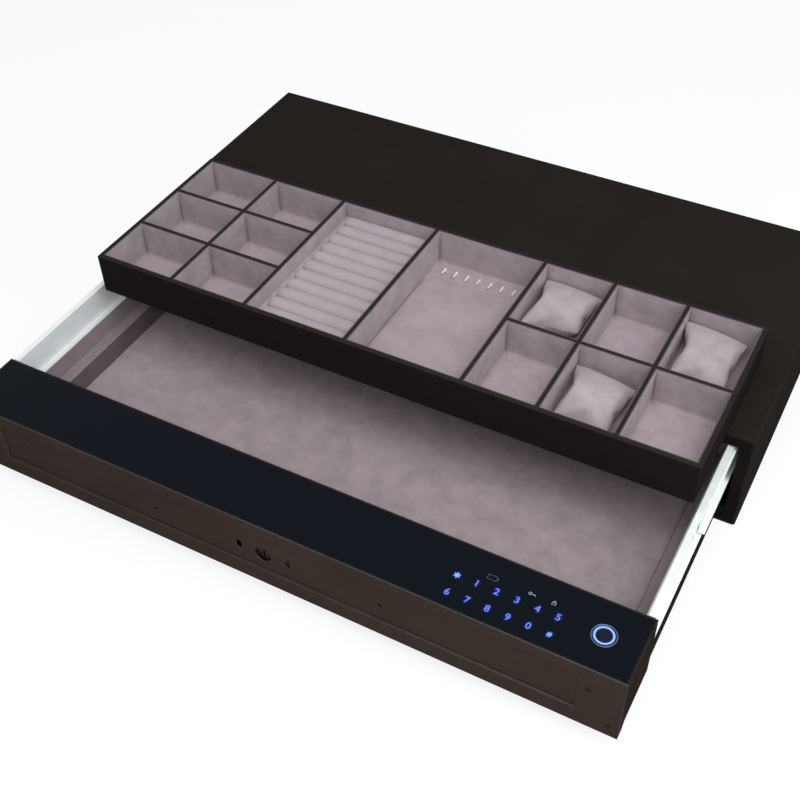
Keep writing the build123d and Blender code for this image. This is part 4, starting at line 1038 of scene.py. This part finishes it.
def watch_pillow(name, node, body, tips, seed):
    """One pillow, drawn to its four corners (rear left, rear right, front left, front right)."""
    low, high = (v * 1000 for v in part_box(node))
    piece = sewn_cover(name)
    stuffed(piece)
    remade(piece, "SMOOTH", factor=0.5, iterations=6)
    places = [vertex.co * 1000 for vertex in piece.data.vertices]
    half = Vector(max(p[k] for p in places) for k in range(3))
    depth = -min(p.z for p in places)
    rear_left, rear_right, front_left, front_right = (Vector(tip) for tip in tips)
    for vertex, place in zip(piece.data.vertices, places):
        i = place.x / half.x
        j = place.y / half.y
        u = (i * (1 + 0.1 * (1 - j * j)) + 1) / 2
        v = (j * (1 + 0.08 * (1 - i * i)) + 1) / 2
        front = front_left * (1 - u) + front_right * u
        rear = rear_left * (1 - u) + rear_right * u
        seam = front * (1 - v) + rear * v
        if place.z > 0:
            rise = (high.z - 0.5 - seam.z) * (place.z / half.z) ** 1.4
        else:
            rise = 1.25 * (seam.z - low.z) * place.z / depth
        waist = 1.5 * math.exp(-((v - 0.47) / 0.14) ** 2) if place.z > 0 else 0.0
        crumple = 0.8 * noise.noise(Vector((4 * u, 4 * v, seed)))
        height = seam.z + rise - (waist - crumple) * min(1, abs(place.z) / 8.0)
        vertex.co = Vector((seam.x, seam.y, max(low.z + 0.15, min(high.z, height)))) * mm
    remade(piece, "SUBSURF", levels=1, render_levels=1)
    for face in piece.data.polygons:
        face.use_smooth = True
    fit(piece, pillow_suede, body, "suede_lining", node)


watch_pillow("pillow_left", "watch_pillow_left", "left_pillow",
             [(126.0, -78.7, 168), (196.2, -82.7, 165),
              (126.6, -160.9, 165), (191.8, -144.4, 160)], 3.0)
watch_pillow("pillow_middle", "watch_pillow_middle", "middle_pillow",
             [(213.0, -197.5, 165), (284.0, -206.7, 162),
              (217.0, -277.0, 161), (278.3, -277.0, 160)], 8.0)
watch_pillow("pillow_right", "watch_pillow_right", "right_pillow",
             [(298.2, -80.0, 172), (369.3, -84.5, 165),
              (305.7, -163.5, 165), (367.0, -160.3, 162)], 13.0)

# The studio: a white floor that keeps the safe's soft shadow, a large lamp overhead and to the
# right, a small low one at the right for the slides, and an even white room.

floor_mesh = bmesh.new()
bmesh.ops.create_grid(floor_mesh, x_segments=8, y_segments=8, size=6.0)
studio_floor = keep_mesh("studio_floor", floor_mesh)


def looked_at(tree):
    """1 for what the camera sees, also in a reflection or through glass, and 0 for the light."""
    seen = put(tree, "LightPath").outputs
    looked = reckon(tree, "MAXIMUM", seen["Is Camera Ray"], seen["Is Glossy Ray"])
    return reckon(tree, "MAXIMUM", looked, seen["Is Transmission Ray"])


floor_white, tree, shader = start_finish("studio floor", Base_Color=(0.82, 0.82, 0.82, 1),
                                         Roughness=0.9, Specular_IOR_Level=0.0)
share = reckon(tree, "MULTIPLY", looked_at(tree), 0.72)
white = put(tree, "Emission", {"Color": (1, 1, 1), "Strength": 1.12})
seen_white = put(tree, "MixShader", {0: share, 1: shader, 2: white})
wire(tree, tree.nodes["Material Output"], {"Surface": seen_white})
studio_floor.data.materials.append(floor_white)

room = bpy.data.worlds.new("studio room")
bpy.context.scene.world = room
room.use_nodes = True
tree = room.node_tree
level = ranged(tree, looked_at(tree), 0.0, 1.0, 0.37, 1.0)
wire(tree, tree.nodes["Background"], {"Strength": level, "Color": (1, 1, 1)})


def soft_lamp(name, place, wide, deep, power):
    """A rectangular lamp that faces the tray."""
    data = bpy.data.lights.new(name, "AREA")
    adjust(data, shape="RECTANGLE", size=wide, size_y=deep, energy=power)
    lamp = bring_in(name, data)
    lamp.location = place
    lamp.rotation_euler = (Vector((0, -0.1, 0.1)) - lamp.location).to_track_quat("-Z", "Y").to_euler()


soft_lamp("overhead_lamp", (0.8, -1.1, 2.2), 2.4, 1.8, 44.0)
soft_lamp("side_lamp", (2.0, -0.7, 0.95), 1.6, 1.4, 10.0)

# The camera stands where the photograph's did, solved from the straight edges in it.
camera_data = bpy.data.cameras.new("photo camera")
adjust(camera_data, lens=53.134, sensor_width=36.0, clip_start=0.05)
camera = bring_in("photo_camera", camera_data)
ahead = Vector((-0.35071, 0.62222, -0.69992)).normalized()
up = Vector((-0.3209, 0.62227, 0.71398))
aside = ahead.cross(up).normalized()
up = aside.cross(ahead)
turned = Matrix((aside, up, -ahead)).transposed().to_4x4()
camera.matrix_world = Matrix.Translation((0.50938, -1.12626, 1.0519)) @ turned
bpy.context.scene.camera = camera
bpy.context.scene.view_settings.view_transform = "Standard"
